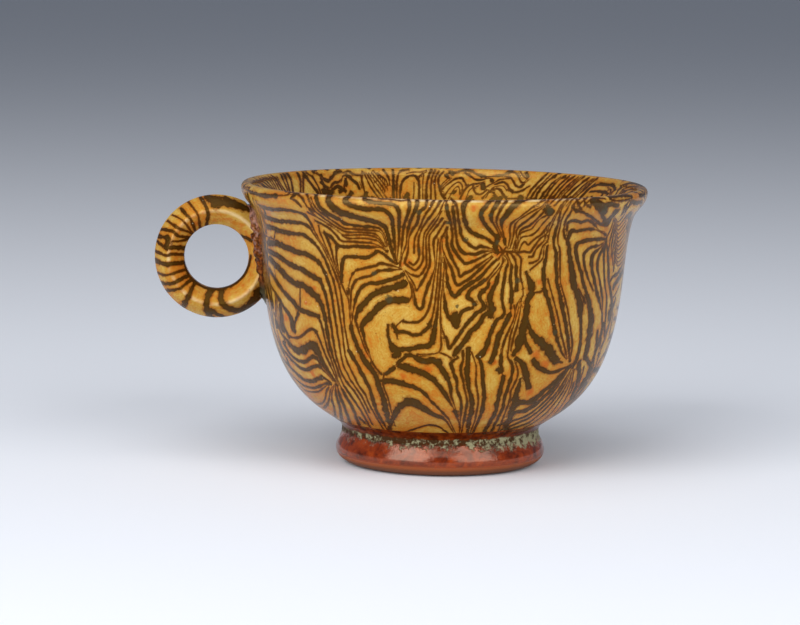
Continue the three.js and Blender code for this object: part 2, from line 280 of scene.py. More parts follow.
ZIGZAGS = [
    (4, 3, 494, 198.5, 487, 205, 481.5, 213, 483, 221, 488, 228, 493, 234, 499, 239),
    (4.5, 3, 470, 198, 464, 205.5, 463.5, 213, 465, 221, 468, 228, 473, 233, 480, 236, 487, 239, 497, 246),
    (2.5, 3, 451, 198.5, 456.5, 206, 458.5, 220, 460, 228, 461.5, 236, 466, 242, 471, 246, 476, 248,
     481, 246.5, 493, 249),
    (3.5, 2.5, 453, 208, 455, 225, 457, 243, 460, 249, 464, 253, 470, 254, 476, 254.5, 482, 252, 493, 250.5),
    (3.5, 2.5, 446, 199, 447, 210, 451, 225, 452.5, 235, 452, 244, 454, 250, 462, 261, 466, 263.5,
     478, 259, 490, 253),
    (3, 2.5, 447, 232, 447, 244, 450, 254, 454, 262, 458, 270, 460, 276, 465, 273.5, 471, 270.5, 491, 256.5),
    (2.5, 3, 442, 240, 443, 250, 450, 266, 453, 274, 455, 282, 458, 285, 463, 282.5, 475, 274, 492, 258),
    (2.5, 4, 444, 258, 446, 268, 447, 277, 448, 285, 451, 292, 455, 296, 459, 293),
    (4, 2.5, 459, 293, 463, 289, 469, 284.5, 475, 281, 481, 276, 486, 271, 491, 265, 496, 260.5),
    (2.5, 4, 443, 280, 444, 292, 445, 302, 446, 311, 449, 317, 453, 322, 456, 325),
    (5, 2.5, 456, 325, 459, 318, 462, 312, 467, 309.5, 472, 308, 474.5, 304),
    (9, 4, 455, 318, 456, 326),
    (4, 3, 474.5, 304, 472, 300.5, 468, 298, 468, 294, 472, 289, 478, 285, 484, 281, 489, 276.5, 499, 264),
    (2.5, 3.5, 441, 325, 444, 334, 447, 340, 449, 348, 453, 344, 457, 338, 462, 330.5, 467, 323.5, 472, 318),
    (3.5, 3.5, 472, 318, 477, 313, 481, 310.5, 484, 308, 483, 303, 480, 299, 479.5, 295, 483, 291),
    (3.5, 2, 483, 291, 487.5, 287, 489, 281, 493, 275.5, 497, 271, 503, 262, 502, 256),
    (3, 6, 501, 268, 498, 276, 496, 283, 493, 290, 490, 296, 490, 302, 492, 309, 491, 315),
    (4, 5, 491, 315, 487, 314, 484, 316, 481, 321, 476, 327, 471, 331.5, 467, 337, 463, 343.5, 455, 354),
    (2.5, 3, 505, 256, 508, 262, 506, 269, 504.5, 278, 503, 287, 502, 296, 502.5, 304, 504.5, 312, 502, 317),
    (3, 5, 502, 317, 497, 320, 494, 325, 491.5, 331, 489, 338, 487, 345, 484, 351, 480, 356),
    (2, 3.5, 507.3, 254.7, 511.2, 264, 511.2, 271.5, 510.4, 279, 511.2, 287, 511.9, 294.5),
    (3.5, 6, 511.9, 294.5, 511.5, 302, 510.5, 311),
    (4, 5, 511, 311, 508, 318, 505, 323.5, 502, 330, 498.5, 337, 496.5, 345, 494.5, 354, 491, 361),
    (2, 3.5, 511.2, 254, 515, 260, 516.5, 267.7, 515.8, 273, 516.5, 281, 516.5, 289),
    (1.2, 2, 520, 299, 517.3, 304, 515.8, 309.8, 514.5, 316),
    (3, 2.5, 514, 306, 515, 313, 513, 321, 509.5, 329, 506.5, 336, 503.5, 344, 502, 354),
    (1.5, 2, 516.5, 253, 521, 258.5, 521, 264, 520.3, 271.5, 521, 279, 522.6, 287, 523.4, 293.7, 521, 300,
     521.9, 306),
    (2, 2, 519, 307, 514.5, 323, 510, 337, 508, 354),
    (1.5, 2, 522.5, 283, 523, 294, 521, 301, 520.5, 309, 519, 317, 517, 326, 514.5, 334, 512.5, 342,
     511, 350),
    (3, 7, 526.5, 273.5, 528.8, 279, 531.2, 285.5),
    (7, 4.5, 531.2, 285.5, 531.5, 291, 529.5, 296, 527.5, 302),
    (4.5, 9, 527.5, 302, 527, 307, 526, 315, 524.5, 324, 522.5, 333, 520.5, 341),
    (8, 3.5, 520.5, 341, 517.5, 348, 514.5, 353.5),
    (4, 4, 524, 338, 527, 345, 530, 351),
]
TOP_FAN = [
    (4, 2.5, 500, 199, 493.5, 209, 491, 215, 492, 221, 496, 228, 500, 236),
    (2.5, 2, 507, 200.5, 501.5, 208, 497, 218, 497, 224, 500, 231, 503, 238),
    (6, 3, 520.5, 199, 511, 209.5, 506, 216, 502, 221, 502, 228, 504, 236, 505, 244),
    (2, 2, 545, 200, 536, 205, 528, 211, 520, 217, 512, 223, 510, 229, 510, 238, 508, 247),
    (2, 2, 549, 201, 541, 207, 533, 211, 525, 216, 519, 220, 515, 225, 514, 231, 513, 238, 510, 248),
    (2, 2, 548, 204, 541, 209, 535, 214, 528, 220, 521, 225, 517, 230, 516, 237, 513, 248),
    (2, 2, 546, 210, 541, 215, 535, 221, 529, 226, 522, 229, 519, 234, 518, 241, 516, 248),
    (1.5, 1.5, 547, 215, 538.7, 220.2, 531.8, 228.7, 525.7, 231, 519.6, 234, 516.5, 240, 515, 249),
    (1.5, 1.5, 548, 218, 541.8, 224.8, 536.4, 231.7, 530.3, 235.6, 522.6, 237, 519.6, 241, 517.3, 248),
    (2, 1.5, 552, 221, 547, 226, 542.5, 233.3, 536.4, 237.8, 531, 242.4, 528, 244.7, 525, 241.7, 522, 244,
     519, 251.6),
    (1.5, 2, 553, 225, 546.4, 234, 540.2, 238.6, 535.6, 244.7, 531, 251.6, 528, 252.4, 523.4, 251.6,
     516.5, 253),
    (1.5, 2, 544, 241, 539.5, 245.5, 535.6, 250, 532.6, 256.2, 529.5, 257),
    (1.5, 2, 546.4, 242.4, 542.5, 247, 540.2, 254.7, 538.7, 259.3, 534, 262.3, 530.3, 263),
    (1.5, 1.5, 544, 248.6, 542.5, 258.5, 536.4, 264.6, 531, 269.2),
    (4.5, 3, 498.2, 236, 496.6, 242, 495, 248.2, 498.2, 252.7),
    (7, 8, 546, 208, 550, 212),
    (1.5, 1.2, 560, 206.5, 554.5, 216, 550, 224.5, 547, 232, 544.5, 239),
    (1.5, 1.2, 564, 203, 557, 214.5, 552.5, 224, 549.5, 233, 547.8, 241),
]
RIGHT_STRIPES = [
    (3, 4, 547, 247, 546, 256, 545, 264, 543.5, 272, 544, 281, 544.5, 289),
    (4, 4, 544.5, 289, 547, 296, 549.5, 304, 551, 312, 553, 321, 554.5, 330),
    (4, 2.5, 554.5, 330, 557, 339, 560, 347, 562, 353, 566, 359),
    (1.5, 2, 535, 292.5, 539, 292, 544, 290),
    (1.5, 2, 548, 280, 551, 291, 554, 302, 556, 309, 558, 317, 561, 333, 563, 341, 565, 349, 567, 358),
    (3, 2.5, 568, 200, 563, 207, 560, 214, 558.5, 222, 556, 230, 554, 238, 554, 246),
    (2.5, 4.5, 554, 246, 556, 253, 556, 262, 556.5, 272, 557, 281, 558.5, 289),
    (4, 3, 558.5, 289, 562, 305, 563.5, 313, 565.5, 322, 566.5, 331, 568, 340, 569, 349, 569, 358),
    (1.5, 1.5, 571, 203, 566, 211, 562, 219, 560, 227, 558, 236, 558, 244, 560, 251, 560, 272, 560.5, 283),
    (1.5, 2, 560.5, 283, 563, 292, 565.5, 301, 567.5, 310, 569, 319, 570.5, 329, 572, 339, 572, 349,
     570, 360),
    (2, 3, 571, 212, 566, 220, 564, 228, 564, 234, 566, 240, 569, 247),
    (4, 7, 569, 247, 569.5, 255, 571, 263, 572.5, 272, 573, 281, 575.5, 289),
    (6, 6, 575.5, 289, 578, 297, 580, 305, 580.5, 312),
    (3, 3, 580.5, 312, 581, 322, 581, 332, 580.5, 342, 579, 351, 576, 360, 573, 367),
    (2.5, 2.5, 579, 289, 582, 295, 585, 302),
    (3.5, 3.5, 606, 239, 600, 239, 592, 239.5, 584, 241, 578, 244, 576, 250, 577, 260),
    (3, 3.5, 577, 260, 579.5, 268, 582, 276, 583.5, 284, 586, 291, 588, 298),
    (4.5, 6.5, 588, 298, 589.5, 306, 590.5, 314, 591, 322),
    (6.5, 4, 591, 322, 590, 331, 588.5, 340, 587, 348, 585, 356),
    (3, 2, 603, 243, 598, 246, 592, 247, 587, 250.5, 584, 254, 584, 260, 585, 268, 589.5, 282, 593, 290),
    (3, 3.5, 604, 244, 601, 247, 593, 255, 591.5, 261, 592, 270, 594, 279, 597.5, 295, 600, 303, 601.5, 312),
    (2.5, 2, 605, 245, 603, 248, 598, 260, 597.5, 268, 599, 277, 602, 295, 602.5, 306, 602, 320, 602, 334),
    (2, 2, 606, 243, 604, 254, 604, 268, 605, 286, 606.5, 295, 606.5, 304, 606, 314, 604, 336),
    (2, 4, 607, 247, 608, 256, 608.5, 268, 608.5, 277, 609.5, 286, 611, 295, 612, 304, 610.5, 313),
    (1.5, 1.5, 611, 288, 613, 297, 616, 293, 619, 286),
    (2, 3, 603, 326, 601, 334, 599, 342, 596, 350, 594, 357),
    (1.5, 1.5, 615, 300, 612, 312, 609, 324, 605, 338, 600, 351),
    (3, 3, 573, 207, 576, 211, 582, 212, 588, 215, 594, 219, 600, 224, 604, 226),
    (3, 3, 567, 229, 568, 223, 574, 220.5, 581, 222, 588, 220.5, 594, 224, 599, 230, 604, 232),
    (3.5, 3, 568.5, 243, 569, 236, 571, 231, 577, 231, 583, 230, 590, 229, 596, 230, 602, 233, 606, 235),
    (4, 4, 594, 204, 600, 211, 604, 219, 606, 225, 610, 219, 615, 213),
]
LOWER_ARCHES = [
    (4, 6, 407, 355, 413, 356.5, 419, 359.5, 426, 361, 433, 361, 438, 362.5),
    (7, 5, 438, 362.5, 441, 367, 444, 372, 447, 378),
    (4, 2, 447, 378, 450, 385, 451, 391, 451.5, 397, 454, 404, 456, 410),
    (1.5, 1.5, 421, 355.5, 430, 355, 439, 353, 446, 355, 450, 357.5),
    (3, 6, 386, 374, 391, 370, 395, 367, 400, 366, 406, 367.5),
    (6.5, 5.5, 406, 367.5, 412, 369.5, 418, 371.5, 424, 374, 430, 377, 435, 381),
    (5, 4, 435, 381, 439, 386, 443, 391, 446, 396, 449, 401, 452, 406, 455, 411, 457, 417),
    (5, 5, 384, 381, 390, 381, 396, 382, 402, 383.5),
    (4.5, 2.5, 402, 383.5, 408, 385.5, 414, 387.5, 420, 390, 425, 394, 430, 400),
    (2.5, 2.5, 430, 400, 435, 405, 440, 410, 445, 415, 449, 420, 452, 426),
    (4, 7, 391, 424, 394, 416, 398, 409, 404, 404, 410, 402),
    (7, 6, 410, 402, 415, 403, 420, 406, 426, 410.5),
    (5, 2.5, 426, 410.5, 432, 414, 438, 416.5, 443, 418.5, 447, 422, 450, 427),
    (2, 2, 416, 428.5, 422, 426.5, 429, 425, 435, 425.5, 441, 428, 445, 431),
    (1.5, 2, 384, 374, 383, 381, 384, 388, 388, 398, 390, 406, 392, 414),
    (3.5, 3, 396, 365, 401, 360.5, 407, 355.5),
    (3, 3.5, 457, 358.4, 453, 361, 451, 364, 452, 368),
    (3, 2.5, 452, 367, 454, 374, 457, 381, 457, 388, 459, 395, 461, 402, 461, 412, 460, 425),
    (3, 3, 463, 352, 463, 360, 461, 367, 461, 373, 463, 380, 464, 387, 467, 401, 465, 415, 463, 425),
    (5, 5.5, 468, 350, 468, 358, 467, 366, 467, 374, 468, 382, 469, 390, 471, 397, 472, 404),
    (5, 4, 472, 404, 471, 412, 469, 420, 468, 429),
    (1.5, 2, 472, 353, 474, 359, 476, 366, 476, 382, 477, 389, 478, 396, 478, 404, 475, 420, 472, 428),
    (3, 4, 477, 357, 480, 361, 482, 367, 483, 374, 483, 382, 484, 390, 484, 398),
    (4, 3, 484, 398, 483, 406, 481, 414, 478, 421, 475, 428),
]
LOWER_RIGHT_STRIPES = [
    (3.5, 3.5, 501, 350, 501, 358, 501, 366, 502, 374),
    (5, 4, 499, 370, 503, 375, 502, 382),
    (4, 4, 502, 382, 501, 389, 499, 396, 497, 403, 496, 410, 493, 417, 489, 424, 485, 431),
    (2, 3, 507, 352, 508, 358, 511, 362, 513, 368, 512, 375),
    (3, 3, 512, 375, 510, 381, 508, 387, 506, 393, 504, 400, 503, 407, 500, 414, 497, 420, 493, 428),
    (2, 2, 516, 364, 518, 371, 517, 378, 514, 385, 511, 391, 510, 398, 508, 405, 505, 413, 499, 429),
    (3, 6, 520, 380, 518.5, 388, 516, 394, 515, 400),
    (7, 5, 515, 400, 514, 406, 512, 412, 510, 418, 507, 424, 506, 430),
    (3.5, 7.5, 517, 359, 520.5, 362, 523.5, 366.5, 526, 372),
    (7, 5, 526, 372, 527.5, 380, 528.5, 387),
    (6, 5, 515, 402, 522, 402.5, 528, 402.5, 533, 400.5),
    (4, 2.5, 533, 400.5, 538, 396.5, 544, 391, 550, 386, 556, 380.5, 562, 374, 569, 367),
    (4, 2, 512, 412, 518, 411.5, 524, 411, 530, 408, 537, 403, 544, 397, 551, 390, 558, 382, 570, 367.5),
    (2, 1.5, 512, 421, 520, 418.5, 527, 415.5, 534, 411, 541, 405, 548, 398, 555, 390, 562, 380, 570, 368),
    (2, 1.5, 513, 425, 520, 422, 528, 418.5, 536, 413, 543, 407, 550, 400, 557, 392, 564, 381, 571, 369),
    (2, 1.5, 512, 429, 520, 426, 528, 423, 536, 417, 544, 410, 552, 402, 559, 393, 566, 382, 571, 370),
    (2, 1.5, 524, 428, 532, 423.5, 540, 418, 547, 412, 554, 404, 561, 395, 567, 384, 572, 371),
    (1.5, 1.5, 534, 428, 542, 421.5, 549, 415, 556, 407, 562, 398, 568, 387, 572, 372),
    (1.5, 1.5, 546, 423, 553, 416, 559, 409, 565, 400, 569, 391, 572, 381, 574, 370),
    (5, 5, 579, 364, 579, 372, 578, 379),
    (4, 3, 578, 379, 576, 386, 573, 393, 570, 400, 564, 407),
    (4.5, 5, 585, 356, 588, 361, 590.5, 366),
    (4.5, 3, 590.5, 366, 588.5, 372, 586, 379, 582, 385, 578, 391, 574, 397),
    (2, 2, 597, 350, 594.5, 358, 593, 366, 590, 374, 586, 382),
    (1.5, 1.5, 601, 350, 598, 358, 595, 367, 590, 377),
    (3.5, 9, 529, 326, 531, 331.5, 535, 337, 540, 341.5, 545, 346),
    (10, 8, 545, 346, 549, 351, 553, 357, 556, 360.5),
    (3, 2, 556, 361, 562, 362.5),
    (6, 5, 534, 361, 537, 365, 540, 368.5, 545, 371),
    (4, 2, 545, 371, 550, 372.5, 556, 371.5, 562, 369, 567, 367),
]
INSIDE_STRIPES = [
    (1.3, 1.3, 250, 182.1, 257.4, 182.7, 262.8, 185.8, 265.5, 188.1),
    (1.3, 1.3, 253.4, 180.7, 260.1, 182.7, 264.8, 185.8, 268.8, 188.8),
    (1.3, 1.3, 256.1, 179.6, 262.8, 181.7, 268.1, 185.8, 271.8, 189.1),
    (1.3, 1.3, 259.4, 178.4, 265.5, 180.7, 270.1, 185.1, 273.5, 189.4),
    (1.3, 1.3, 262.1, 177.5, 268.1, 179.7, 272.1, 184.1, 275.2, 189.8),
    (1.3, 1.3, 265.5, 177.1, 270.8, 179.4, 274.2, 184.1, 277.2, 190.1),
    (1.5, 1.5, 268.8, 176.5, 272.8, 178.7, 276.5, 183.8, 280.2, 191.1),
    (2, 2, 272.1, 176, 275.5, 178.4, 278.8, 183.8, 282.9, 191.5),
    (1.5, 1.5, 277.5, 177.4, 279.5, 181.7, 282.9, 187.1, 286.2, 192),
    (1.8, 1.5, 281.5, 176, 282.9, 179.7, 285.5, 185.1, 287.9, 192),
    (2.2, 2, 284.2, 175, 286.2, 179.7, 288.2, 185.1, 289.9, 193),
    (2.3, 2.3, 288.2, 174.4, 290.9, 180.4, 292.2, 186.4, 293.6, 193.5),
    (2.2, 2, 298.2, 174.4, 299.9, 178.4, 300.6, 184.4, 300.6, 193.5),
    (2, 2, 303.6, 174, 303.3, 181.7, 303.3, 193.5),
    (2.5, 2.5, 304.3, 174, 307.6, 179.1, 311.6, 184.4, 315.7, 189.8, 318.4, 194.5),
    (2, 2, 307.6, 173.4, 313, 177.7, 316.3, 183.1, 319, 188.4, 321, 194),
    (2.5, 2.5, 313.5, 172.2, 319, 175.7, 321.7, 179.7, 323.4, 185.1, 325, 190.4),
    (3, 3, 317, 172.5, 322.4, 177, 328.4, 181, 332.4, 176.4, 335.8, 172.4, 340.4, 171.5),
    (3, 3, 323, 183.7, 329, 188.4, 333.8, 183, 338.4, 181.7, 342.5, 178),
    (6, 3, 325, 191.5, 331, 190.8, 336.4, 187, 340.4, 187.7, 344.4, 190.5),
    (2.5, 2, 343.2, 172.7, 348.3, 171.4, 352.8, 173.9, 357.2, 175.2, 360.4, 174.6),
    (2.8, 3, 341.3, 181.6, 343.2, 175.8, 348.9, 176.5, 352.1, 179.7, 357.2, 184.1, 359.1, 188),
    (4.5, 4.5, 345.5, 179, 346, 182, 346.4, 185.5),
    (3, 2, 340, 192, 343.5, 190, 344.5, 186),
    (2, 2.2, 362.3, 172.5, 361.7, 177.8, 362.3, 182.9, 364.2, 189.9, 366.1, 196.2),
    (1.5, 1.5, 364.2, 173.9, 367.4, 180.3, 370.6, 186.7, 374.4, 192.4, 378.3, 197.5),
    (1.5, 1.5, 366.8, 173.9, 371.3, 180.9, 375.1, 187.3, 379.5, 193.1, 382.7, 197.5),
    (1.5, 1.5, 369.3, 173.9, 373.8, 180.3, 378.3, 186, 382.1, 191.8, 385.9, 197.5),
    (1.5, 1.5, 371.9, 173.3, 377, 179.7, 381.5, 185.4, 384.6, 190.5),
    (1.5, 1.5, 373.8, 171.4, 379.5, 178.4, 384, 184.1, 386.6, 189.2),
    (2, 1.8, 377, 173.9, 382.1, 177.1, 385.9, 180.3, 387.8, 184.8),
    (2.5, 1.8, 384, 170.7, 387.2, 174.6, 388.8, 179, 389.7, 184.5),
    (4, 4, 386.8, 187, 387.2, 188.2, 387.6, 189.5),
    (3, 3, 392.9, 170.5, 393.3, 177.8, 393.3, 187.3, 393.6, 198.5),
    (2, 2.2, 407.6, 169.5, 401.2, 170.7, 398.7, 173.3, 397.4, 178.4, 396.8, 184.1, 396.8, 198.5),
    (2.5, 2.5, 400, 198.5, 400, 193.1, 401.2, 185.4, 403.8, 179.7, 408.9, 175.8),
    (2.5, 2.5, 408.9, 175.8, 414.6, 175.8, 417.8, 179.7, 419.1, 185.4, 419.1, 198.5),
    (1.2, 1.2, 414, 182.9, 414, 190.5, 413.3, 198),
    (3.5, 3.5, 405.8, 196.6, 406.4, 195.4, 407, 194.5),
    (1.5, 1.5, 407.6, 173.3, 413.3, 172, 420.4, 172, 425.5, 170.7),
    (2, 1.5, 419.5, 176.5, 421, 174.8, 422.5, 173.5),
    (2.5, 2.5, 431.2, 170.1, 428.6, 176.5, 427.1, 182.2, 426.4, 189.2, 426.4, 198.5),
    (1.8, 1.8, 435, 170.7, 432.5, 175.8, 431.2, 182.9, 430.9, 190.5, 430.9, 198.5),
    (1.8, 1.8, 438.6, 171.8, 435.7, 176.8, 434.6, 183, 435, 190.5, 435.5, 198.5),
    (2.2, 2.5, 442.8, 172, 439.3, 176.5, 438.3, 181.6, 439.6, 188, 441.5, 193.7, 444, 197.5),
    (4, 4, 447, 176, 447.5, 176.8, 448, 177.5),
    (3.5, 3.5, 450.8, 172.8, 451.4, 173.2, 452, 173.6),
    (2, 2.5, 441.5, 190.5, 444.7, 186.7, 451, 181.6, 456.8, 178.4, 461.9, 178.4, 464.4, 181.6, 466.4, 184.8),
    (1.2, 1.2, 442.8, 186, 446, 182.9, 451, 178.6),
    (1.5, 1.5, 445.3, 194.3, 449.1, 189.2, 454.2, 184.1, 458.7, 182.2, 461.9, 184.8, 462.5, 190),
    (2, 5, 450.5, 194, 452.7, 192.8, 455, 191.5),
    (2, 2, 460.6, 197.5, 463.2, 192.4, 465.7, 188.6, 470.8, 184.8, 478.5, 183.5, 482.9, 182.2),
    (2, 3, 455.5, 172.7, 463.2, 170.5, 470.8, 170.7, 476.6, 173.9, 482.9, 176.5),
    (3, 2.5, 482.9, 176.5, 489.3, 176.8, 497, 175.8, 503.4, 174.6, 510.4, 171.4),
    (2, 2.8, 465.7, 173.3, 470.8, 176.5, 475.9, 179.7, 481, 180, 487.4, 178.4, 491.2, 178.7),
    (2.2, 2, 473.4, 186.7, 474, 190.5, 476.6, 193.7, 481, 194.3, 486.1, 190.5),
    (5, 5, 482.5, 185, 482.9, 186.2, 483.3, 187.5),
    (1.5, 1.5, 485.5, 187.7, 490, 184.6, 495, 182.2, 499.5, 179.7, 504, 179, 509.7, 178.4),
    (3.5, 3.5, 491.5, 179.5, 492, 180.1, 492.5, 180.8),
    (2, 2.4, 482.9, 197.5, 487.4, 193.1, 491.9, 191.8, 495, 195, 497.6, 198.5),
    (2, 2.8, 491.2, 189.9, 497, 188.6, 500.8, 190.5, 503.4, 195, 506.5, 198.5),
    (2, 2.6, 496.3, 184.1, 502.7, 182.2, 507.2, 184.8, 509.7, 189.2, 513.5, 192.4),
    (2.6, 2, 513.5, 192.4, 518, 191.8, 522.5, 190.5, 528.2, 186.7),
    (2, 2.5, 504, 175.8, 510.4, 177.8, 513.5, 181.6, 515.5, 185.4, 519.3, 187.3, 523.1, 184.8, 528.2, 180.3),
    (2, 1.8, 509.7, 171.4, 515.5, 173.3, 518.6, 177.1, 520.6, 180.9, 523.7, 182.5, 528.2, 177.5),
    (1.5, 1.5, 520.6, 172, 523.7, 176.5, 526.5, 178),
    (3.5, 3.5, 526.6, 173.5, 527, 174.4, 527.4, 175.2),
    (2, 2, 547.4, 173.3, 541.6, 179.1, 535.8, 184.9, 530.8, 190.7, 526.6, 198),
    (2, 2, 550.7, 175, 544.9, 180.8, 539.1, 186.6, 534.1, 192.4, 530.8, 198),
    (3, 2.5, 554.8, 175.8, 548.2, 180.8, 543.2, 185.7, 538.2, 192.4, 535.8, 198),
    (3, 2.5, 559.8, 177.4, 552.3, 183.2, 547.4, 189, 543.2, 194, 540.7, 198),
    (3, 2.5, 564.8, 176.6, 559, 179.9, 554.8, 184.1, 549.9, 189.9, 544.9, 198),
    (2, 1.8, 568.9, 176.6, 562.3, 182.4, 557.3, 187.4, 553.2, 192.4, 549, 198),
    (2, 1.8, 573.9, 176.6, 567.3, 181.6, 561.5, 187.4, 556.5, 193.2, 553.2, 198),
    (1.8, 1.8, 578, 177.4, 571.4, 182.4, 565.6, 188.2, 560.6, 193.2, 557.3, 198),
    (1.8, 1.8, 583, 177.4, 575.6, 183.2, 569.8, 189, 564.8, 194, 561.5, 198.2),
    (2, 2, 588, 178.3, 580.5, 184.1, 573.9, 189.9, 566, 197.5),
    (2, 2, 592.1, 179.1, 585.5, 184.1, 578.9, 189.9, 573.1, 195.7, 570.5, 198),
    (2, 2, 596.3, 179.1, 590.5, 184.1, 583.8, 189.9, 575.5, 197.5),
    (2, 2, 593.8, 184.9, 588.8, 189, 583.8, 194, 580.5, 197.3),
    (1.1, 1, 580.5, 177.4, 573.5, 182.8, 567.7, 188.6, 562.7, 193.6, 559.4, 198),
    (1.1, 1, 594.2, 179.1, 588, 184.1, 581.3, 189.9, 573, 197.6),
    (1.1, 1, 372.5, 177.5, 377.5, 184.5, 382.5, 191.5, 387, 197.6),
    (1.1, 1, 424, 173, 423, 180, 422.7, 188, 422.8, 198),
    (1.1, 1, 447, 179.5, 443, 183, 440.5, 186.5),
    (1.1, 1, 449, 198, 453.5, 189.8, 457.6, 186.5, 459.5, 189, 459.6, 193.5),
    (1.1, 1, 466.5, 197.5, 469, 191, 471.5, 188.5, 477, 186.5),
    (1.1, 1, 486.5, 196.5, 492, 188.6, 497.5, 186.3, 503, 186, 506.5, 190),
    (2.5, 4, 594.6, 185.7, 598.8, 184.5, 605.4, 184.9, 612, 185.3),
    (4, 2.5, 612, 185.3, 614.5, 187, 615, 190),
    (2.5, 3.5, 591.3, 191.5, 597.1, 191.3, 603.7, 192, 607.9, 194),
    (3, 4, 622.8, 184.9, 629.5, 183, 637.7, 184, 642.7, 186.6),
    (2, 2, 615.4, 194.9, 619.5, 189, 626.1, 185.7),
    (1.5, 1.5, 618.7, 194.9, 623.6, 189, 631.1, 186.6, 639.4, 187.4, 645.2, 190.7),
    (1.5, 1.5, 622, 194.9, 627, 190.4, 634.4, 189.2, 641.1, 190.7, 645, 193),
    (1.5, 1.5, 625.3, 194, 631.1, 191.8, 636.9, 192.4),
]

# Stripes that run along the lip's crest, and a patch of painted shade and reflection under its right end
LIP_STRIPES_AND_SHADE = [
    (3, 3.5, 244, 188.5, 253, 193, 266, 196, 277, 195.3, 288, 194.5, 294, 194),
    (5, 4, 244.5, 187, 247, 187.3, 249.5, 188),
    (4, 5, 264, 195.8, 280, 195.8, 292, 194.8),
    (2.5, 2, 291.5, 197.5, 296.3, 193.7, 300.5, 196.5, 303.6, 201, 306.5, 206.5, 312.5, 210.5),
    (2.5, 1.5, 292, 199, 296, 201, 300.3, 205.8),
    (2.5, 2, 307, 194, 308.5, 198.5, 311, 203),
    (1.2, 1, 380, 198.7, 391, 199.4, 399, 200.7, 407, 200.4),
    (1.5, 1.5, 507, 198.7, 517, 198.7, 523.7, 200.5, 532.5, 198.7),
    (2, 2.5, 576.7, 198, 578, 203.5, 581, 209),
    (2, 2.5, 583.3, 197, 585.5, 203.5, 590, 207),
    (2.5, 2, 591.4, 197, 604.6, 198.5),
    (5, 8, 591.4, 201, 597, 203.4, 602, 206, 604, 212.5),
    (3, 3, 609.7, 197, 617.8, 196.2, 628, 195.5, 631.7, 196.7),
    (2, 2, 613, 200.4, 620.7, 201, 628, 199.7),
    (2, 2.5, 629, 201, 625, 207.7, 622, 214.3),
    # Painted shade and reflection under the right of the lip
    (6, 4, 603, 208, 610, 204.5, 617.8, 205.5),
    (1.5, 1.5, 632, 197.5, 629.5, 204.8, 626, 210),
]

# Small V stripes stacked up the right edge: the corners of one, and the levels they repeat at
EDGE_CHEVRON = (1.2, 1.2, 614.6, -5.4, 616.5, -1.9, 618, 0, 620.3, -1.9, 623.4, -6.1, 625.7, -9.9)
EDGE_CHEVRON_LEVELS = range(222, 267, 4)
EDGE_STRIPES = [
    (1.2, 1.2, 607.3, 236, 610.4, 230, 612.7, 223, 614.2, 216),
    (1.2, 1.2, 609, 248, 610.4, 239, 612.7, 230, 614.6, 222),
    (1.2, 1.2, 611.2, 256, 611.5, 246.6, 612.7, 239, 614.2, 231),
    (1.2, 1.2, 612.7, 263.5, 612.7, 254.3, 613.5, 246.6, 615.4, 239),
    (1.2, 1.2, 613.5, 270, 614.2, 262, 614.6, 254.3, 615.8, 246.6),
]

# Short slanting stripes along the lip at the right: the points of one, and the places they repeat at
LIP_DASH = (1.6, 1.4, -4, 205, 0, 201, 5, 197)
LIP_DASH_PLACES = range(541, 590, 6)

# Dark bands and patches on the handle's front, drawn the same way, and painted shade at the hole's bottom
RING_STRIPES_AND_SHADE = [
    (3, 3.3, 200.3, 197, 205.3, 205.4, 207.7, 212.5, 207.7, 218.3, 206.5, 227),
    (2, 2.2, 188.5, 202, 193.8, 208.7, 197.2, 213.5, 199.1, 220.2, 200.5, 229),
    (3, 2.6, 181, 208.5, 186.1, 214.4, 190.5, 219.2, 192.8, 224, 196, 232.5),
    (1.6, 2, 172.5, 215, 179.4, 218.3, 183.3, 221.1, 187.1, 225.9, 193, 234),
    (2.5, 2.5, 168, 221, 174.7, 225.9, 179.4, 228.3, 185.2, 230.7, 192.5, 233.5),
    (3, 2.8, 161.5, 229.3, 169.9, 230.7, 173.7, 232.2, 177.5, 236, 183.3, 236.9, 191, 237.6),
    (4, 6, 158.5, 236.3, 167, 237.4, 168.4, 241.2, 166.5, 246),
    (2.2, 2.8, 172.8, 241.2, 178.5, 241.2, 188, 239),
    (2.5, 4.5, 156, 240, 161.7, 245.1, 167, 247.5, 174.7, 247.5, 186, 248.2),
    (2.5, 2.5, 154.5, 250.6, 161.3, 253.7, 167, 255.6, 172.8, 254.2, 186, 254.8),
    (4.2, 3.6, 154.5, 260, 161.3, 263.3, 168, 264.2, 173.7, 263.3, 186, 262.5),
    (2.5, 2.5, 156, 272, 164.1, 275.2, 170.8, 274.3, 177.5, 271.9, 186.5, 269.2),
    (3.6, 3.4, 160, 282.5, 168, 283.8, 174.7, 282.4, 180.4, 279.5, 188, 275.5),
    (3, 3, 165.8, 290.6, 173.7, 290, 180.4, 288.1, 185.2, 284.3, 191, 280),
    (5.2, 3.6, 182.5, 308.5, 186.1, 300.6, 189, 294.8, 191.9, 288.1, 196, 281.5),
    (6, 6, 212.5, 318.5, 207.7, 312.1, 206.7, 303.4, 207.7, 296.7, 212, 288.5),
    (5, 3, 211, 311.1, 216.8, 314, 224, 316.8),
    (5, 6, 222.5, 288, 220.6, 296.7, 222, 303.4, 227.3, 307.3),
    (5.5, 8, 227.3, 307.3, 235.9, 310.3, 245.5, 308.7, 251.2, 303.4, 256.5, 296.7, 261.3, 290),
    (5, 10.5, 206.5, 195.5, 211, 199.1, 216.8, 201.5),
    (10.5, 5, 216.8, 201.5, 226.3, 201.2, 235.9, 204.4, 247, 208.7),
    (3, 3.5, 243, 236.5, 250.3, 240.3),
    # Painted shade of the coil's inner face along the bottom of the hole
    (1.8, 2.6, 184.6, 262.5, 187.4, 271.5, 191, 277.8, 196.5, 283, 202.5, 286.5, 208.5, 288.6, 217, 289.6),
    (2, 3, 250.5, 257, 248.5, 266, 245, 273.5, 240, 279.5, 233, 284.5, 225, 287.8),
]
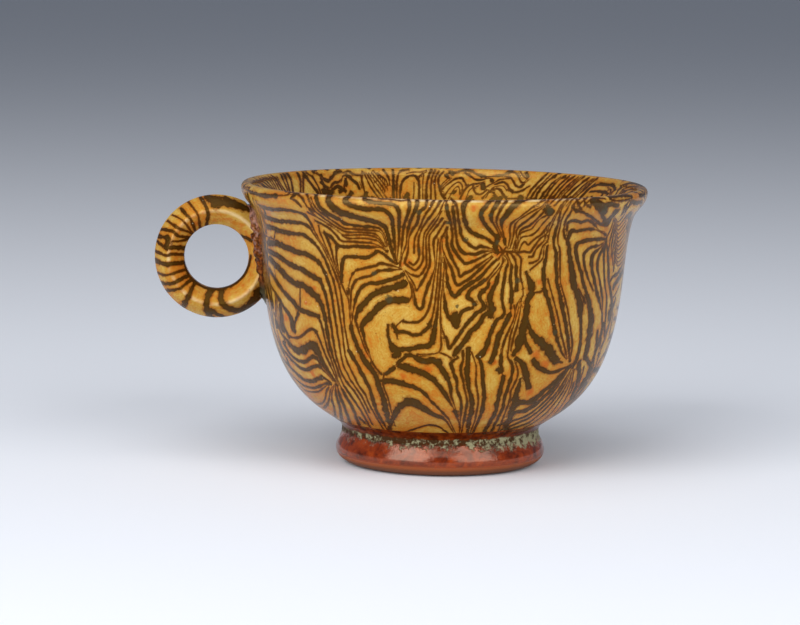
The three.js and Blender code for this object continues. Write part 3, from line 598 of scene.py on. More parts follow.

# Spots of grey slip and of rust, as point and radius in the photograph's pixels, one of them painted shade
GREY_SPOTS_AND_SHADE = [
    (447, 208, 3), (448, 222.5, 3.2), (466, 239.4, 3.6), (517.3, 280.7, 4), (473.7, 304.4, 3), (457, 306, 3),
    (550, 211, 6), (497.4, 242.4, 3.5), (481.3, 214, 4), (490.5, 215, 3.5), (388.5, 299, 6), (419, 212.4, 4),
    # The spot at (605, 209) is painted shade and reflection under the lip
    (619.6, 274, 4), (615.7, 283.3, 3), (605, 209, 6), (388, 421, 6), (555, 333, 4), (604, 275, 3),
    (374, 273, 4),
]
RUST_SPOTS = [
    (500, 252, 9), (441, 250, 5), (473.7, 208, 6), (475.2, 257, 4), (493, 283, 4), (490.5, 288.5, 4),
    (539.5, 282.2, 6), (408, 262, 6), (442.5, 240, 6), (363, 346, 5), (367, 355, 6), (536, 356, 9),
    (530, 392, 7), (404, 376, 6), (428, 371, 6), (447, 397, 5), (286, 318, 6), (272, 302, 5),
    (335, 301, 3), (578, 286, 5), (314, 288, 5), (402, 264, 4), (545, 365, 8), (494, 362, 6),
    (487, 350, 6), (378, 404, 4), (306, 303, 4), (272, 222, 4), (313, 374, 6),
]

# Drawing and copying of stripes. Lengths are in millimetres, or in the photograph's pixels where named so.
STROKE_STEP_PIXELS = 0.6
STROKE_BREAK = 2.0
STRIPE_LEAST_POINTS = 3
STROKE_FULLNESS = 1.07
LEAST_SEEN = 0.3
RUN_OUT_FROM_PIXELS = 413.0
RUN_OUT_PIXELS = 12.0
WIDE_CORE = 0.35
CAP_ANGLES = np.radians([30, 60, 90, 120, 150])
THIN_LEAST = 0.11
BLOB_LEAST = 0.85
CROWD_GAP = 0.2
CROWD_REACH = 1.4
CROWD_STEP = 4
ALONGSIDE = 0.9
BESIDE = 0.8
CLOSE_BY = 0.1
COPY_LEAST_PIXELS = 1.8
BACK_LIFT = 4.0
BACK_TURN = math.radians(14)
SIDE_TURNS = (UPRIGHT, -UPRIGHT)
FLOOR_SPREAD = np.array([0.62, 0.85])
FLOOR_LEVEL = 14.0
SEEN_SLACK = 1.0
EDGE_ON = 0.4
FILL_GAP = 0.5
FILL_LEAST = 15


def sweep(start, start_angle, end, end_angle, span, fullness, steps=200):
    """Points of a smooth curve that leaves and reaches its ends along given directions."""
    start = np.array(start, float)
    end = np.array(end, float)
    leave = start + span[0] * fullness[0] * np.array([math.cos(start_angle), math.sin(start_angle)])
    arrive = end - span[1] * fullness[1] * np.array([math.cos(end_angle), math.sin(end_angle)])
    t = np.linspace(0, 1, steps)[:, None]
    return (1 - t) ** 3 * start + 3 * (1 - t) ** 2 * t * leave + 3 * (1 - t) * t ** 2 * arrive + t ** 3 * end


def smoothstep(value, low, high):
    share = np.clip((value - low) / (high - low), 0, 1)
    return share * share * (3 - 2 * share)


def unit(vectors):
    """Vectors made 1 long, apart from those with no length."""
    return vectors / np.maximum(np.linalg.norm(vectors, axis=1), TINY)[:, None]


def resample(line, shares):
    """Points along a line at given shares of its length, from 0 to 1."""
    length = np.concatenate([[0], np.cumsum(np.linalg.norm(np.diff(line, axis=0), axis=1))])
    wanted = np.asarray(shares) * length[-1]
    return np.stack([np.interp(wanted, length, line[:, axis]) for axis in range(line.shape[1])], axis=1)


def bowl_underside():
    return sweep(
        (0, FOOT_HEIGHT - UNDERSIDE_DROP), 0, (FOOT_JOINT_RADIUS, FOOT_HEIGHT), BOWL_RISE,
        (FOOT_JOINT_RADIUS, FOOT_JOINT_RADIUS), UNDERSIDE_FULLNESS,
    )


def bowl_body():
    """Outside of the bowl from the foot up over belly and wall to the edge of the lip."""
    joint = (FOOT_JOINT_RADIUS, FOOT_HEIGHT)
    belly = (BELLY_RADIUS, BELLY_HEIGHT)
    lip_root = (RIM_RADIUS - LIP_FLARE, CUP_HEIGHT - LIP_HEIGHT)
    lip_edge = (RIM_RADIUS, CUP_HEIGHT - LIP_THICKNESS / 2)
    belly_span = (BELLY_RADIUS - FOOT_JOINT_RADIUS, BELLY_HEIGHT - FOOT_HEIGHT)
    wall_rise = lip_root[1] - BELLY_HEIGHT
    lip_rise = lip_edge[1] - lip_root[1]
    belly_lean = UPRIGHT - BELLY_LEAN
    lip_lean = UPRIGHT - LIP_LEAN
    return np.concatenate([
        sweep(joint, BOWL_RISE, belly, belly_lean, belly_span, BELLY_FULLNESS),
        sweep(belly, belly_lean, lip_root, lip_lean, (wall_rise, wall_rise), WALL_FULLNESS)[1:],
        sweep(lip_root, lip_lean, lip_edge, UPRIGHT, (lip_rise, lip_rise), LIP_FULLNESS)[1:],
    ])


def bowl_inside(outside):
    """The outside moved in by the clay's thickness, from the middle of the floor to the lip."""
    tangent = unit(np.gradient(outside, axis=0))
    inward = np.stack([-tangent[:, 1], tangent[:, 0]], axis=1)
    height = outside[:, 1]
    thinning = smoothstep(height, FOOT_HEIGHT, BELLY_HEIGHT)
    body = FLOOR_THICKNESS + (WALL_THICKNESS - FLOOR_THICKNESS) * thinning
    lip = smoothstep(height, CUP_HEIGHT - LIP_HEIGHT, CUP_HEIGHT - LIP_THICKNESS / 2)
    inside = outside + inward * (body + (LIP_THICKNESS - body) * lip)[:, None]
    inside[0, 0] = 0
    return inside


def half_circle(centre, radius, rows):
    angle = np.linspace(0, math.pi, rows + 2)[1:-1]
    return np.stack([centre[0] + radius * np.cos(angle), centre[1] + radius * np.sin(angle)], axis=1)


def bowl_outline():
    """The whole section of the bowl, out from under its floor, over the lip and back inside."""
    underside = bowl_underside()
    body = bowl_body()
    inside = bowl_inside(np.concatenate([underside, body[1:]]))[::-1]
    crest = half_circle((RIM_RADIUS - LIP_THICKNESS / 2, body[-1, 1]), LIP_THICKNESS / 2, CREST_ROWS)
    inside_shares = np.linspace(0, 1, INSIDE_ROWS) ** INSIDE_CROWDING
    return np.concatenate([
        resample(underside, np.linspace(0, 1, UNDERSIDE_ROWS, endpoint=False)),
        resample(body, np.linspace(0, 1, BODY_ROWS)),
        crest,
        resample(inside, inside_shares),
    ])


WALL = bowl_body()


def wall_radius(height):
    """Outside radius of the bowl at given heights."""
    return np.interp(height, WALL[:, 1], WALL[:, 0])


def even_angles(count):
    return np.linspace(0, 2 * math.pi, count, endpoint=False)


def front_crowded_angles(count):
    """Angles round the axis, closest together at the front, towards -Y, and next to that at the back."""
    even = even_angles(count)
    return even - UPRIGHT - FRONT_CROWDING * np.sin(even) - BOTH_ENDS_CROWDING * np.sin(2 * even)


def band_faces(rows, count, closed):
    """Faces between neighbouring rings of points. Closed joins the last ring to the first."""
    here = np.arange(count)
    following = (here + 1) % count
    bands = []
    for row in range(rows if closed else rows - 1):
        low = row * count
        high = ((row + 1) % rows) * count
        bands.append(np.stack([low + here, low + following, high + following, high + here], axis=1))
    return np.concatenate(bands)


def turned(outline, angles, closed):
    """Vertices and faces of an outline turned about the bowl's axis. An open outline ends on the axis."""
    count = len(angles)
    rows = outline if closed else outline[1:-1]
    ring = np.stack([np.cos(angles), np.sin(angles)], axis=1)
    flat = rows[:, None, :1] * ring[None]
    height = np.broadcast_to(rows[:, None, 1:], (len(rows), count, 1))
    vertices = np.concatenate([flat, height], axis=2).reshape(-1, 3) + (AXIS, 0, 0)
    faces = band_faces(len(rows), count, closed).tolist()
    if not closed:
        first = len(vertices)
        top = (len(rows) - 1) * count
        vertices = np.concatenate([vertices, [(AXIS, 0, outline[0, 1]), (AXIS, 0, outline[-1, 1])]])
        faces += [(first, (a + 1) % count, a) for a in range(count)]
        faces += [(first + 1, top + a, top + (a + 1) % count) for a in range(count)]
    return vertices, faces


def ring_point(turn, round_coil):
    """Points on the handle's coil before pressing: turn left from the top, and angle round the coil."""
    turn, round_coil = np.broadcast_arrays(turn, round_coil)
    across = np.cos(round_coil)
    along = np.sin(round_coil)
    width = np.sign(across) * np.abs(across) ** (2 / COIL_ROUNDNESS)
    depth = np.sign(along) * np.abs(along) ** (2 / COIL_ROUNDNESS) * COIL_DEPTH / 2
    reach = COIL_WIDTH / 2
    inward = np.maximum(width * (reach + COIL_FLAT), -reach)
    radius = RING_RADIUS - reach + np.where(width > 0, width * reach, inward)
    return np.stack([RING_X - radius * np.sin(turn), depth, RING_Z + radius * np.cos(turn)], axis=-1)


def pressed(points):
    """Points moved out of the bowl's wall and its slip, as the soft coil flattens against them."""
    outward = points[:, :2] - (AXIS, 0)
    distance = np.linalg.norm(outward, axis=1)
    least = wall_radius(points[:, 2]) + SLIP_LAYER
    scale = np.maximum(least / distance, 1)
    return np.concatenate([outward * scale[:, None] + (AXIS, 0), points[:, 2:]], axis=1)


def ring_mesh():
    turns = even_angles(RING_SEGMENTS)
    sides = even_angles(COIL_SIDES)
    points = ring_point(turns[:, None], sides[None]).reshape(-1, 3)
    faces = band_faces(RING_SEGMENTS, COIL_SIDES, True)[:, OTHER_WAY_ROUND]
    return pressed(points), faces.tolist()


def slip_lumps(height, side):
    """Uneven swelling of the slip that squeezed out beside the coil, about 1."""
    bend = LUMP_BEND * np.sin(LUMP_BEND_RATE * side)
    waves = np.sin(LUMP_RATE * height + bend) + np.sin(FINE_LUMP_RATE * height - FINE_LUMP_SLANT * side)
    return 1 + SLIP_LUMPS * waves


def slip_mesh():
    """A lumpy bead of slip on the wall round the coil's print, thicker above and fading at its border."""
    bottom = RING_Z - RING_RADIUS - SLIP_BELOW
    top = RING_Z + RING_RADIUS - SLIP_SPREAD
    heights = np.linspace(bottom, top, SLIP_ROWS)
    reach = COIL_DEPTH / 2 + SLIP_SPREAD
    sides = np.linspace(-reach, reach, SLIP_COLUMNS)
    height, side = np.meshgrid(heights, sides, indexing="ij")
    radius = wall_radius(height)
    wall_x = AXIS - np.sqrt(radius ** 2 - side ** 2)
    from_centre = np.hypot(wall_x - RING_X, height - RING_Z)
    width = np.abs(from_centre - RING_RADIUS + COIL_WIDTH / 2) / (COIL_WIDTH / 2 + SLIP_SPREAD)
    depth = np.abs(side) / reach
    fullness = 1 - (width ** COIL_ROUNDNESS + depth ** COIL_ROUNDNESS)
    upper = smoothstep(height, RING_Z - RING_RADIUS / 2, RING_Z + RING_RADIUS / 2)
    upper -= smoothstep(height, RING_Z + RING_RADIUS / 2, top)
    bead = SLIP_BEAD * (SLIP_BEAD_LOW + (1 - SLIP_BEAD_LOW) * upper) * slip_lumps(height, side)
    rise = bead * smoothstep(fullness, 0, SLIP_ROUNDED) - SLIP_SUNK / 2 * (fullness < SLIP_BORDER)
    scale = (radius + rise) / radius
    front = np.stack([AXIS + (wall_x - AXIS) * scale, side * scale, height], axis=-1).reshape(-1, 3)
    sunk = (radius - SLIP_SUNK) / radius
    back = np.stack([AXIS + (wall_x - AXIS) * sunk, side * sunk, height], axis=-1).reshape(-1, 3)
    return np.concatenate([front, back]), pad_faces(SLIP_ROWS, SLIP_COLUMNS)


def pad_faces(rows, columns):
    """Faces of a closed pad made of two grids, front then back, joined round their border."""
    count = rows * columns
    faces = []
    for row in range(rows - 1):
        for column in range(columns - 1):
            a = row * columns + column
            faces.append((a, a + columns, a + columns + 1, a + 1))
            faces.append((count + a, count + a + 1, count + a + columns + 1, count + a + columns))
    border = list(range(columns))
    border += [row * columns + columns - 1 for row in range(1, rows)]
    border += [(rows - 1) * columns + column for column in range(columns - 2, -1, -1)]
    border += [row * columns for row in range(rows - 2, 0, -1)]
    for a, b in zip(border, border[1:] + border[:1]):
        faces.append((a, b, count + b, count + a))
    return faces


def pixel_ray(x, y):
    """Direction from the camera through a pixel of the photograph."""
    return CAMERA_TURN @ Vector((x - IMAGE_WIDTH / 2, IMAGE_HEIGHT / 2 - y, -FOCAL_PIXELS)).normalized()


def smooth_path(points, step):
    """A rounded path through points, as positions and the share of the way along."""
    ends = np.concatenate([[2 * points[0] - points[1]], points, [2 * points[-1] - points[-2]]])
    path = []
    for a, b, c, d in zip(ends, ends[1:], ends[2:], ends[3:]):
        count = max(2, int(np.linalg.norm(c - b) / step))
        t = np.linspace(0, 1, count, endpoint=False)[:, None]
        path.append(0.5 * (2 * b + (c - a) * t + (2 * a - 5 * b + 4 * c - d) * t ** 2
                           + (3 * b - a - 3 * c + d) * t ** 3))
    path = np.concatenate(path + [points[-1:]])
    return path, np.linspace(0, 1, len(path))


def stripe(middle, normal, half):
    """One stripe on a surface: its middle line, the direction across it and its half width."""
    return middle, unit(np.cross(normal, np.gradient(middle, axis=0))), half


def run_out(points):
    """Points of a stroke, carried on past an end that comes near the foot, so that no stripe stops short."""
    for end, before in ((0, 1), (-1, -2)):
        if points[end, 1] > RUN_OUT_FROM_PIXELS:
            ahead = points[end] - points[before]
            beyond = points[end] + ahead / np.linalg.norm(ahead) * RUN_OUT_PIXELS
            points = np.insert(points, 0 if end == 0 else len(points), beyond, axis=0)
    return points


def drawn_stripes(strokes, surface):
    """Stripes where the camera sees drawn strokes on a surface."""
    stripes = []
    for start_width, end_width, *numbers in strokes:
        points = run_out(np.reshape(numbers, (-1, 2)).astype(float))
        path, share = smooth_path(points, STROKE_STEP_PIXELS)
        width = STROKE_FULLNESS * (start_width + (end_width - start_width) * share)
        hits = [surface.ray_cast(CAMERA_PLACE, pixel_ray(x, y)) for x, y in path]
        seen = np.array([hit[0] is not None for hit in hits])
        middle = np.array([hit[0] or (0, 0, 0) for hit in hits])
        normal = np.array([hit[1] or (0, 0, 1) for hit in hits])
        jump = np.linalg.norm(np.diff(middle, axis=0), axis=1) > STROKE_BREAK
        breaks = np.nonzero(jump | (seen[1:] != seen[:-1]))[0] + 1
        for part in np.split(np.arange(len(path)), breaks):
            if len(part) < STRIPE_LEAST_POINTS or not seen[part[0]]:
                continue
            line, across, half = stripe(middle[part], normal[part], width[part] * PIXEL / 2)
            view = unit(line - np.array(CAMERA_PLACE))
            shown = np.sqrt(np.maximum(1 - np.sum(across * view, axis=1) ** 2, LEAST_SEEN ** 2))
            stripes.append((line, across, half / shown))
    return stripes


def moved_stripes(stripes, surface, move):
    """Copies of stripes, each point moved and then laid on the nearest point of a surface."""
    copies = []
    for middle, _, half in stripes:
        if len(middle) < STRIPE_LEAST_POINTS:
            continue
        places = [surface.find_nearest(Vector(point)) for point in move(middle)]
        line = np.array([place[0] for place in places])
        normal = np.array([place[1] for place in places])
        copies.append(stripe(line, normal, half))
    return copies


def to_back(points):
    """Front to back of the cup, turned and lifted on the way so that the halves aren't alike."""
    depth = np.clip(-points[:, 1] / RIM_RADIUS, 0, 1)
    angle = np.arctan2(-points[:, 1], points[:, 0] - AXIS) + BACK_TURN * depth ** 2
    radius = np.hypot(points[:, 0] - AXIS, points[:, 1])
    level = (points[:, 2] - FOOT_HEIGHT) / (CUP_HEIGHT - FOOT_HEIGHT)
    height = points[:, 2] + BACK_LIFT * depth ** 2 * np.sin(math.pi * np.clip(level, 0, 1))
    return np.stack([AXIS + radius * np.cos(angle), radius * np.sin(angle), height], axis=1)


def to_inside(points):
    """Through the clay to the inside of the wall."""
    outward = points[:, :2] - (AXIS, 0)
    scale = 1 - WALL_THICKNESS / np.maximum(np.linalg.norm(outward, axis=1), WALL_THICKNESS)
    lifted = points[:, 2:] + WALL_THICKNESS * smoothstep(points[:, 2:], BELLY_HEIGHT, FOOT_HEIGHT)
    return np.concatenate([outward * scale[:, None] + (AXIS, 0), lifted], axis=1)


def to_side(turn):
    """A move round the cup's axis."""
    spin = np.array([[math.cos(turn), math.sin(turn)], [-math.sin(turn), math.cos(turn)]])

    def move(points):
        flat = (points[:, :2] - (AXIS, 0)) @ spin + (AXIS, 0)
        return np.concatenate([flat, points[:, 2:]], axis=1)
    return move


def to_floor(points):
    """The front of the wall, laid flat and made smaller, onto the floor of the bowl."""
    flat = (points[:, ::2] - (AXIS, BELLY_HEIGHT)) * FLOOR_SPREAD + (AXIS, 0)
    return np.concatenate([flat, np.full((len(points), 1), FLOOR_LEVEL)], axis=1)


def hidden(point, surface):
    """Whether a point of a surface is out of the photograph's sight, or seen there only edge-on."""
    point = Vector(point)
    ray = (point - CAMERA_PLACE).normalized()
    hit, normal = surface.ray_cast(CAMERA_PLACE, ray)[:2]
    return hit is None or (hit - point).length > SEEN_SLACK or abs(normal.dot(ray)) < EDGE_ON


def point_tree(points):
    """A search tree over points."""
    tree = KDTree(len(points))
    for index, point in enumerate(points):
        tree.insert(point, index)
    tree.balance()
    return tree


def fill_in(copies, taken, surface):
    """The stretches of copied stripes that are out of the photograph's sight and clear of other stripes."""
    tree = point_tree(np.concatenate([line for line, _, _ in taken]))
    parts = []
    for line, across, half in copies:
        clear = np.array([tree.find(point)[2] for point in line]) > half + FILL_GAP
        clear &= np.array([hidden(point, surface) for point in line])
        for part in np.split(np.arange(len(line)), np.nonzero(np.diff(clear))[0] + 1):
            if clear[part[0]] and len(part) > FILL_LEAST:
                parts.append((line[part], across[part], half[part]))
    return parts


def shifted(stroke, right, down):
    """A stroke moved within the photograph."""
    start_width, end_width, *numbers = stroke
    points = np.reshape(numbers, (-1, 2)) + (right, down)
    return (start_width, end_width, *points.ravel())


def bowl_stripes(surface):
    """All stripes of the bowl: those seen outside and inside, and their copies on the hidden sides."""
    chevrons = [shifted(EDGE_CHEVRON, 0, level) for level in EDGE_CHEVRON_LEVELS]
    dashes = [shifted(LIP_DASH, place, 0) for place in LIP_DASH_PLACES]
    groups = [
        LEFT_STRIPES, LOWER_LEFT_STRIPES, TOP_STRIPES, ARCHES, SWIRL, ZIGZAGS, TOP_FAN, RIGHT_STRIPES,
        chevrons, EDGE_STRIPES, LOWER_ARCHES, LOWER_RIGHT_STRIPES, LIP_STRIPES_AND_SHADE, dashes,
    ]
    strokes = [stroke for group in groups for stroke in group]
    bold = [stroke for stroke in strokes if max(stroke[:2]) > COPY_LEAST_PIXELS]
    outside = thinned(drawn_stripes(strokes, surface))
    inside = thinned(drawn_stripes(INSIDE_STRIPES, surface))
    bold_outside = thinned(drawn_stripes(bold, surface))
    taken = outside + inside
    wall = list(bold_outside)
    for move in (to_back, *(to_side(turn) for turn in SIDE_TURNS)):
        copies = fill_in(moved_stripes(bold_outside, surface, move), taken, surface)
        taken += copies
        wall += copies
    for stripes, move in ((inside, to_back), (wall, to_inside), (bold_outside, to_floor)):
        taken += fill_in(moved_stripes(stripes, surface, move), taken, surface)
    return taken


def handle_stripes_and_shade(surface):
    """Stripes of the handle and painted shade at its hole's bottom: those seen in front, and the same again
    behind.
    """
    front = drawn_stripes(RING_STRIPES_AND_SHADE, surface)
    return front + moved_stripes(front, surface, lambda points: points * (1, -1, 1))


def thinned(stripes):
    """Stripes narrowed where others run close beside them, so that light clay shows between."""
    lengths = [len(line) for line, _, _ in stripes]
    owner = np.repeat(np.arange(len(stripes)), lengths)
    middle, across, half = (np.concatenate(part) for part in zip(*stripes))
    run = unit(np.concatenate([np.gradient(line, axis=0) for line, _, _ in stripes]))
    tree = point_tree(middle)
    result = []
    for number, first in enumerate(np.cumsum(lengths) - lengths):
        stations = np.unique(np.append(np.arange(0, lengths[number], CROWD_STEP), lengths[number] - 1))
        share = np.ones(len(stations))
        for place, index in enumerate(first + stations):
            found = [other for _, other, _ in tree.find_range(middle[index], CROWD_REACH)]
            others = np.array(found)[owner[found] != number]
            offset = middle[others] - middle[index]
            aside = np.abs(offset @ across[index])
            beside = aside > BESIDE * np.linalg.norm(offset, axis=1)
            beside &= np.abs(run[others] @ run[index]) > ALONGSIDE
            room = (aside - CROWD_GAP) / (half[index] + half[others])
            share[place] = room[beside].min(initial=1)
        line, side, width = stripes[number]
        if width.max() < BLOB_LEAST:
            width = np.maximum(width * np.interp(np.arange(len(line)), stations, share), THIN_LEAST)
        result.append((line, side, width))
    return result


def stripe_marks(middle, across, flank, last):
    """Marks over the bodies of stripes: each the number of a point on a middle line, and a place."""
    marks = list(enumerate(middle))
    for index in np.nonzero(flank > 0)[0]:
        marks += [(index, middle[index] + side * flank[index] * across[index]) for side in (-1, 1)]
    ends = [(index, index - 1) for index in last]
    ends += [(index, index + 1) for index in np.append(0, last[:-1] + 1)]
    for index, before in ends:
        ahead = middle[index] - middle[before]
        ahead *= flank[index] / max(np.linalg.norm(ahead), TINY)
        for angle in CAP_ANGLES:
            aside = flank[index] * math.cos(angle) * across[index]
            marks.append((index, middle[index] + aside + ahead * math.sin(angle)))
    return marks


def nearest_stripes(vertices, stripes):
    """For each vertex its nearest stripe, how far across and from it it lies, and the stripe's half width."""
    middle, across, half = (np.concatenate(part) for part in zip(*stripes))
    lengths = [len(line) for line, _, _ in stripes]
    owner = np.repeat(np.arange(len(stripes)), lengths)
    marks = stripe_marks(middle, across, np.maximum(half - WIDE_CORE, 0), np.cumsum(lengths) - 1)
    tree = point_tree([place for _, place in marks])
    found = np.array([marks[tree.find(vertex)[1]][0] for vertex in vertices])
    offset = vertices - middle[found]
    return owner[found], np.sum(offset * across[found], axis=1), np.linalg.norm(offset, axis=1), half[found]


def settled_sides(owner, across, near, edges, count):
    """A sign for each stripe, so that the two stripes beside a light band call it by the same side."""
    first, second = edges[:, 0], edges[:, 1]
    differ = owner[first] != owner[second]
    first, second = first[differ], second[differ]
    low = np.minimum(owner[first], owner[second])
    high = np.maximum(owner[first], owner[second])
    pairs, member = np.unique(low * count + high, return_inverse=True)
    closeness = 1 / (CLOSE_BY + near[first] + near[second]) ** 2
    agreement = np.bincount(member, np.sign(across[first] * across[second]) * closeness)
    group = np.arange(count)
    sign = np.ones(count)
    for pair in np.argsort(-np.abs(agreement)):
        a, b = divmod(int(pairs[pair]), count)
        if group[a] == group[b]:
            continue
        if sign[a] * sign[b] * agreement[pair] < 0:
            sign[group == group[b]] *= -1
        group[group == group[b]] = group[a]
    return sign


def write_values(piece, name, values):
    """Keeps one number for each vertex of a piece, for its material."""
    piece.data.attributes.new(name, "FLOAT", "POINT").data.foreach_set("value", values.astype(np.float32))


def mark_stripes(piece, vertices, stripes):
    """Writes the marbling into a piece's mesh as distances from its stripes, in millimetres."""
    mesh = piece.data
    edges = np.empty(len(mesh.edges) * 2, int)
    mesh.edges.foreach_get("vertices", edges)
    owner, across, near, half = nearest_stripes(vertices, stripes)
    across *= settled_sides(owner, across, near, edges.reshape(-1, 2), len(stripes))[owner]
    for name, values in (("across", across), ("near", near), ("half", half)):
        write_values(piece, name, values)


def mark_spots(piece, vertices, surface, name, spots):
    """Writes spots into a piece's mesh, as a value that falls from 1 at a spot's middle to 0 at its edge."""
    values = np.zeros(len(vertices))
    for x, y, radius in spots:
        place = surface.ray_cast(CAMERA_PLACE, pixel_ray(x, y))[0]
        distance = np.linalg.norm(vertices - np.array(place), axis=1) / (radius * PIXEL)
        values = np.maximum(values, 1 - distance)
    write_values(piece, name, values)


def mark_ring(piece, vertices):
    """Marks the ring's rusty inner half, partly painted shade, and the painted highlight on its ridges."""
    from_centre = np.hypot(vertices[:, 0] - RING_X, vertices[:, 2] - RING_Z)
    # Strongest midway between hole and ridge
    rust_and_shade = INNER_RUST_AND_SHADE * np.clip(1 - np.abs(from_centre - INNER_RUST_AND_SHADE_RADIUS) / INNER_RUST_AND_SHADE_WIDTH, 0, 1)
    write_values(piece, "rust_and_shade", rust_and_shade)
    # Painted highlight along the coil's front and back ridges
    write_values(piece, "painted_light", smoothstep(np.abs(vertices[:, 1]) / (COIL_DEPTH / 2), RIDGE_HIGHLIGHT_FROM, 1))


def add_piece(name, vertices, faces, material, node, slot):
    """A smooth piece in the frame that stands for a solid and rides on the cup's one body."""
    mesh = bpy.data.meshes.new(name)
    mesh.from_pydata((vertices * UNIT).tolist(), [], faces)
    mesh.polygons.foreach_set("use_smooth", [True] * len(mesh.polygons))
    mesh.materials.append(material)
    mesh.update()
    piece = bpy.data.objects.new(name, mesh)
    bpy.context.scene.collection.objects.link(piece)
    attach(piece, "root")
    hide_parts(node)
    return piece


def colour(red, green, blue):
    """A colour as seen on screen, 0 to 255, in the linear values that shaders use."""
    def linear(value):
        value /= 255
        return value / 12.92 if value <= 0.04045 else ((value + 0.055) / 1.055) ** 2.4
    return linear(red), linear(green), linear(blue), 1.0


# Fine streaks along the stripes, and the middle of a noise's range
STREAK_SIZE = 0.6
STREAK_DRIFT = 9.0
STREAK_SHARE = 0.22
NOISE_MIDDLE = 0.5

# Places of the Mix node's share, its two colours and its mixed colour
MIX_INPUTS = (0, 6, 7)
MIX_OUTPUT = 2


class Graph:
    """A material whose nodes are added and joined by short calls. Lengths are in millimetres."""

    def __init__(self, name):
        self.material = bpy.data.materials.new(name)
        self.material.use_nodes = True
        self.tree = self.material.node_tree
        self.shader = self.tree.nodes["Principled BSDF"]
        self.place = self.node("ShaderNodeTexCoord").outputs["Object"]

    def node(self, kind, **settings):
        made = self.tree.nodes.new(kind)
        for name, value in settings.items():
            setattr(made, name, value)
        return made

    def feed(self, socket, value):
        if isinstance(value, bpy.types.NodeSocket):
            self.tree.links.new(value, socket)
        else:
            socket.default_value = value

    def attribute(self, name):
        return self.node("ShaderNodeAttribute", attribute_name=name).outputs["Fac"]

    def coordinate(self, axis):
        split = self.node("ShaderNodeSeparateXYZ")
        self.feed(split.inputs[0], self.place)
        return self.math("DIVIDE", split.outputs[axis], UNIT)

    def math(self, operation, *values):
        made = self.node("ShaderNodeMath", operation=operation)
        for socket, value in zip(made.inputs, values):
            self.feed(socket, value)
        return made.outputs[0]

    def times(self, value, by):
        return self.math("MULTIPLY", value, by)

    def scaled(self, value, by, plus):
        return self.math("MULTIPLY_ADD", value, by, plus)

    def less(self, value, amount):
        return self.math("SUBTRACT", value, amount)

    def noise(self, size, detail=2.0, roughness=0.5, distortion=0.0):
        made = self.node("ShaderNodeTexNoise")
        self.feed(made.inputs["Vector"], self.place)
        for name, value in (("Scale", 1 / (size * UNIT)), ("Detail", detail), ("Roughness", roughness),
                            ("Distortion", distortion)):
            made.inputs[name].default_value = value
        return made.outputs["Fac"]

    def streaks(self, across, shift):
        """Fine lines side by side across the stripes, which drift so that they don't run on for ever."""
        made = self.node("ShaderNodeTexNoise", noise_dimensions="1D")
        drift = self.times(shift, STREAK_DRIFT)
        self.feed(made.inputs["W"], self.scaled(across, 1 / STREAK_SIZE, drift))
        made.inputs["Scale"].default_value = 1.0
        return self.times(made.outputs["Fac"], STREAK_SHARE)

    def spots(self, size):
        made = self.node("ShaderNodeTexVoronoi")
        self.feed(made.inputs["Vector"], self.place)
        made.inputs["Scale"].default_value = 1 / (size * UNIT)
        return made.outputs["Distance"]

    def step(self, value, low, high):
        """0 up to a low value and 1 from a high one, smooth between."""
        made = self.node("ShaderNodeMapRange", interpolation_type="SMOOTHSTEP")
        for name, entry in (("Value", value), ("From Min", low), ("From Max", high)):
            self.feed(made.inputs[name], entry)
        return made.outputs[0]

    def fall(self, value, low, high):
        """1 up to a low value and 0 from a high one, smooth between."""
        return self.less(1, self.step(value, low, high))

    def mix(self, share, first, second):
        made = self.node("ShaderNodeMix", data_type="RGBA")
        for place, value in zip(MIX_INPUTS, (share, first, second)):
            self.feed(made.inputs[place], value)
        return made.outputs[MIX_OUTPUT]

    def tinted(self, base, tint, mask, share):
        """A colour with a share of a tint where a mask says so."""
        return self.mix(self.times(mask, share), base, tint)

    def ramp(self, value, stops):
        made = self.node("ShaderNodeValToRGB")
        self.feed(made.inputs[0], value)
        elements = made.color_ramp.elements
        while len(elements) < len(stops):
            elements.new(0.5)
        for element, (position, tint) in zip(elements, stops):
            element.position = position
            element.color = tint
        return made.outputs[0]

    def bump(self, height, distance):
        made = self.node("ShaderNodeBump")
        made.inputs["Distance"].default_value = distance * UNIT
        self.feed(made.inputs["Height"], height)
        return made.outputs[0]

    def glaze(self, level, tint):
        self.feed(self.shader.inputs["Specular IOR Level"], level)
        self.feed(self.shader.inputs["Specular Tint"], tint)

    def finish(self, base, roughness, normal):
        self.feed(self.shader.inputs["Base Color"], base)
        self.feed(self.shader.inputs["Roughness"], roughness)
        self.feed(self.shader.inputs["Normal"], normal)
        return self.material


# Marbled clay: its colours, then lengths in millimetres and shares
AMBER = colour(172, 128, 47)
PALE_AMBER = colour(184, 151, 73)
ORANGE = colour(172, 100, 27)
RUST = colour(170, 78, 18)
FRINGE = colour(116, 58, 12)
EDGE_BROWN = colour(54, 28, 4)
OLIVE_GREY = colour(60, 38, 8)
RED_BROWN = colour(72, 34, 3)
GREY_GREEN = colour(54, 50, 33)
# Pale specks in the glaze; the same colour makes the painted highlight on the lip's crest and the ridges
SPECK_AND_HIGHLIGHT = colour(230, 214, 176)
PIT = colour(66, 38, 12)
GLAZE_TINT = colour(255, 196, 90)
LIP_SHINE = colour(255, 216, 142)
HALO = colour(142, 82, 22)
MESH_SLACK = 0.2
EDGE_BLUR = 0.14
TEAR_PER_HALF = 1.6
TEAR_LEAST = 0.22
HALO_FROM = -0.8
HALO_FULL = 0.1
FRINGE_PER_HALF = -0.6
FRINGE_LEAST = -0.08
FRINGE_FULL = 0.05
# Painted shade low on the bowl: heights where it is full and where it ends, and its share of the cloud
SHADE_FULL_BELOW = 12
SHADE_GONE_ABOVE = 36
LOW_SHADE_SHARE = 0.035
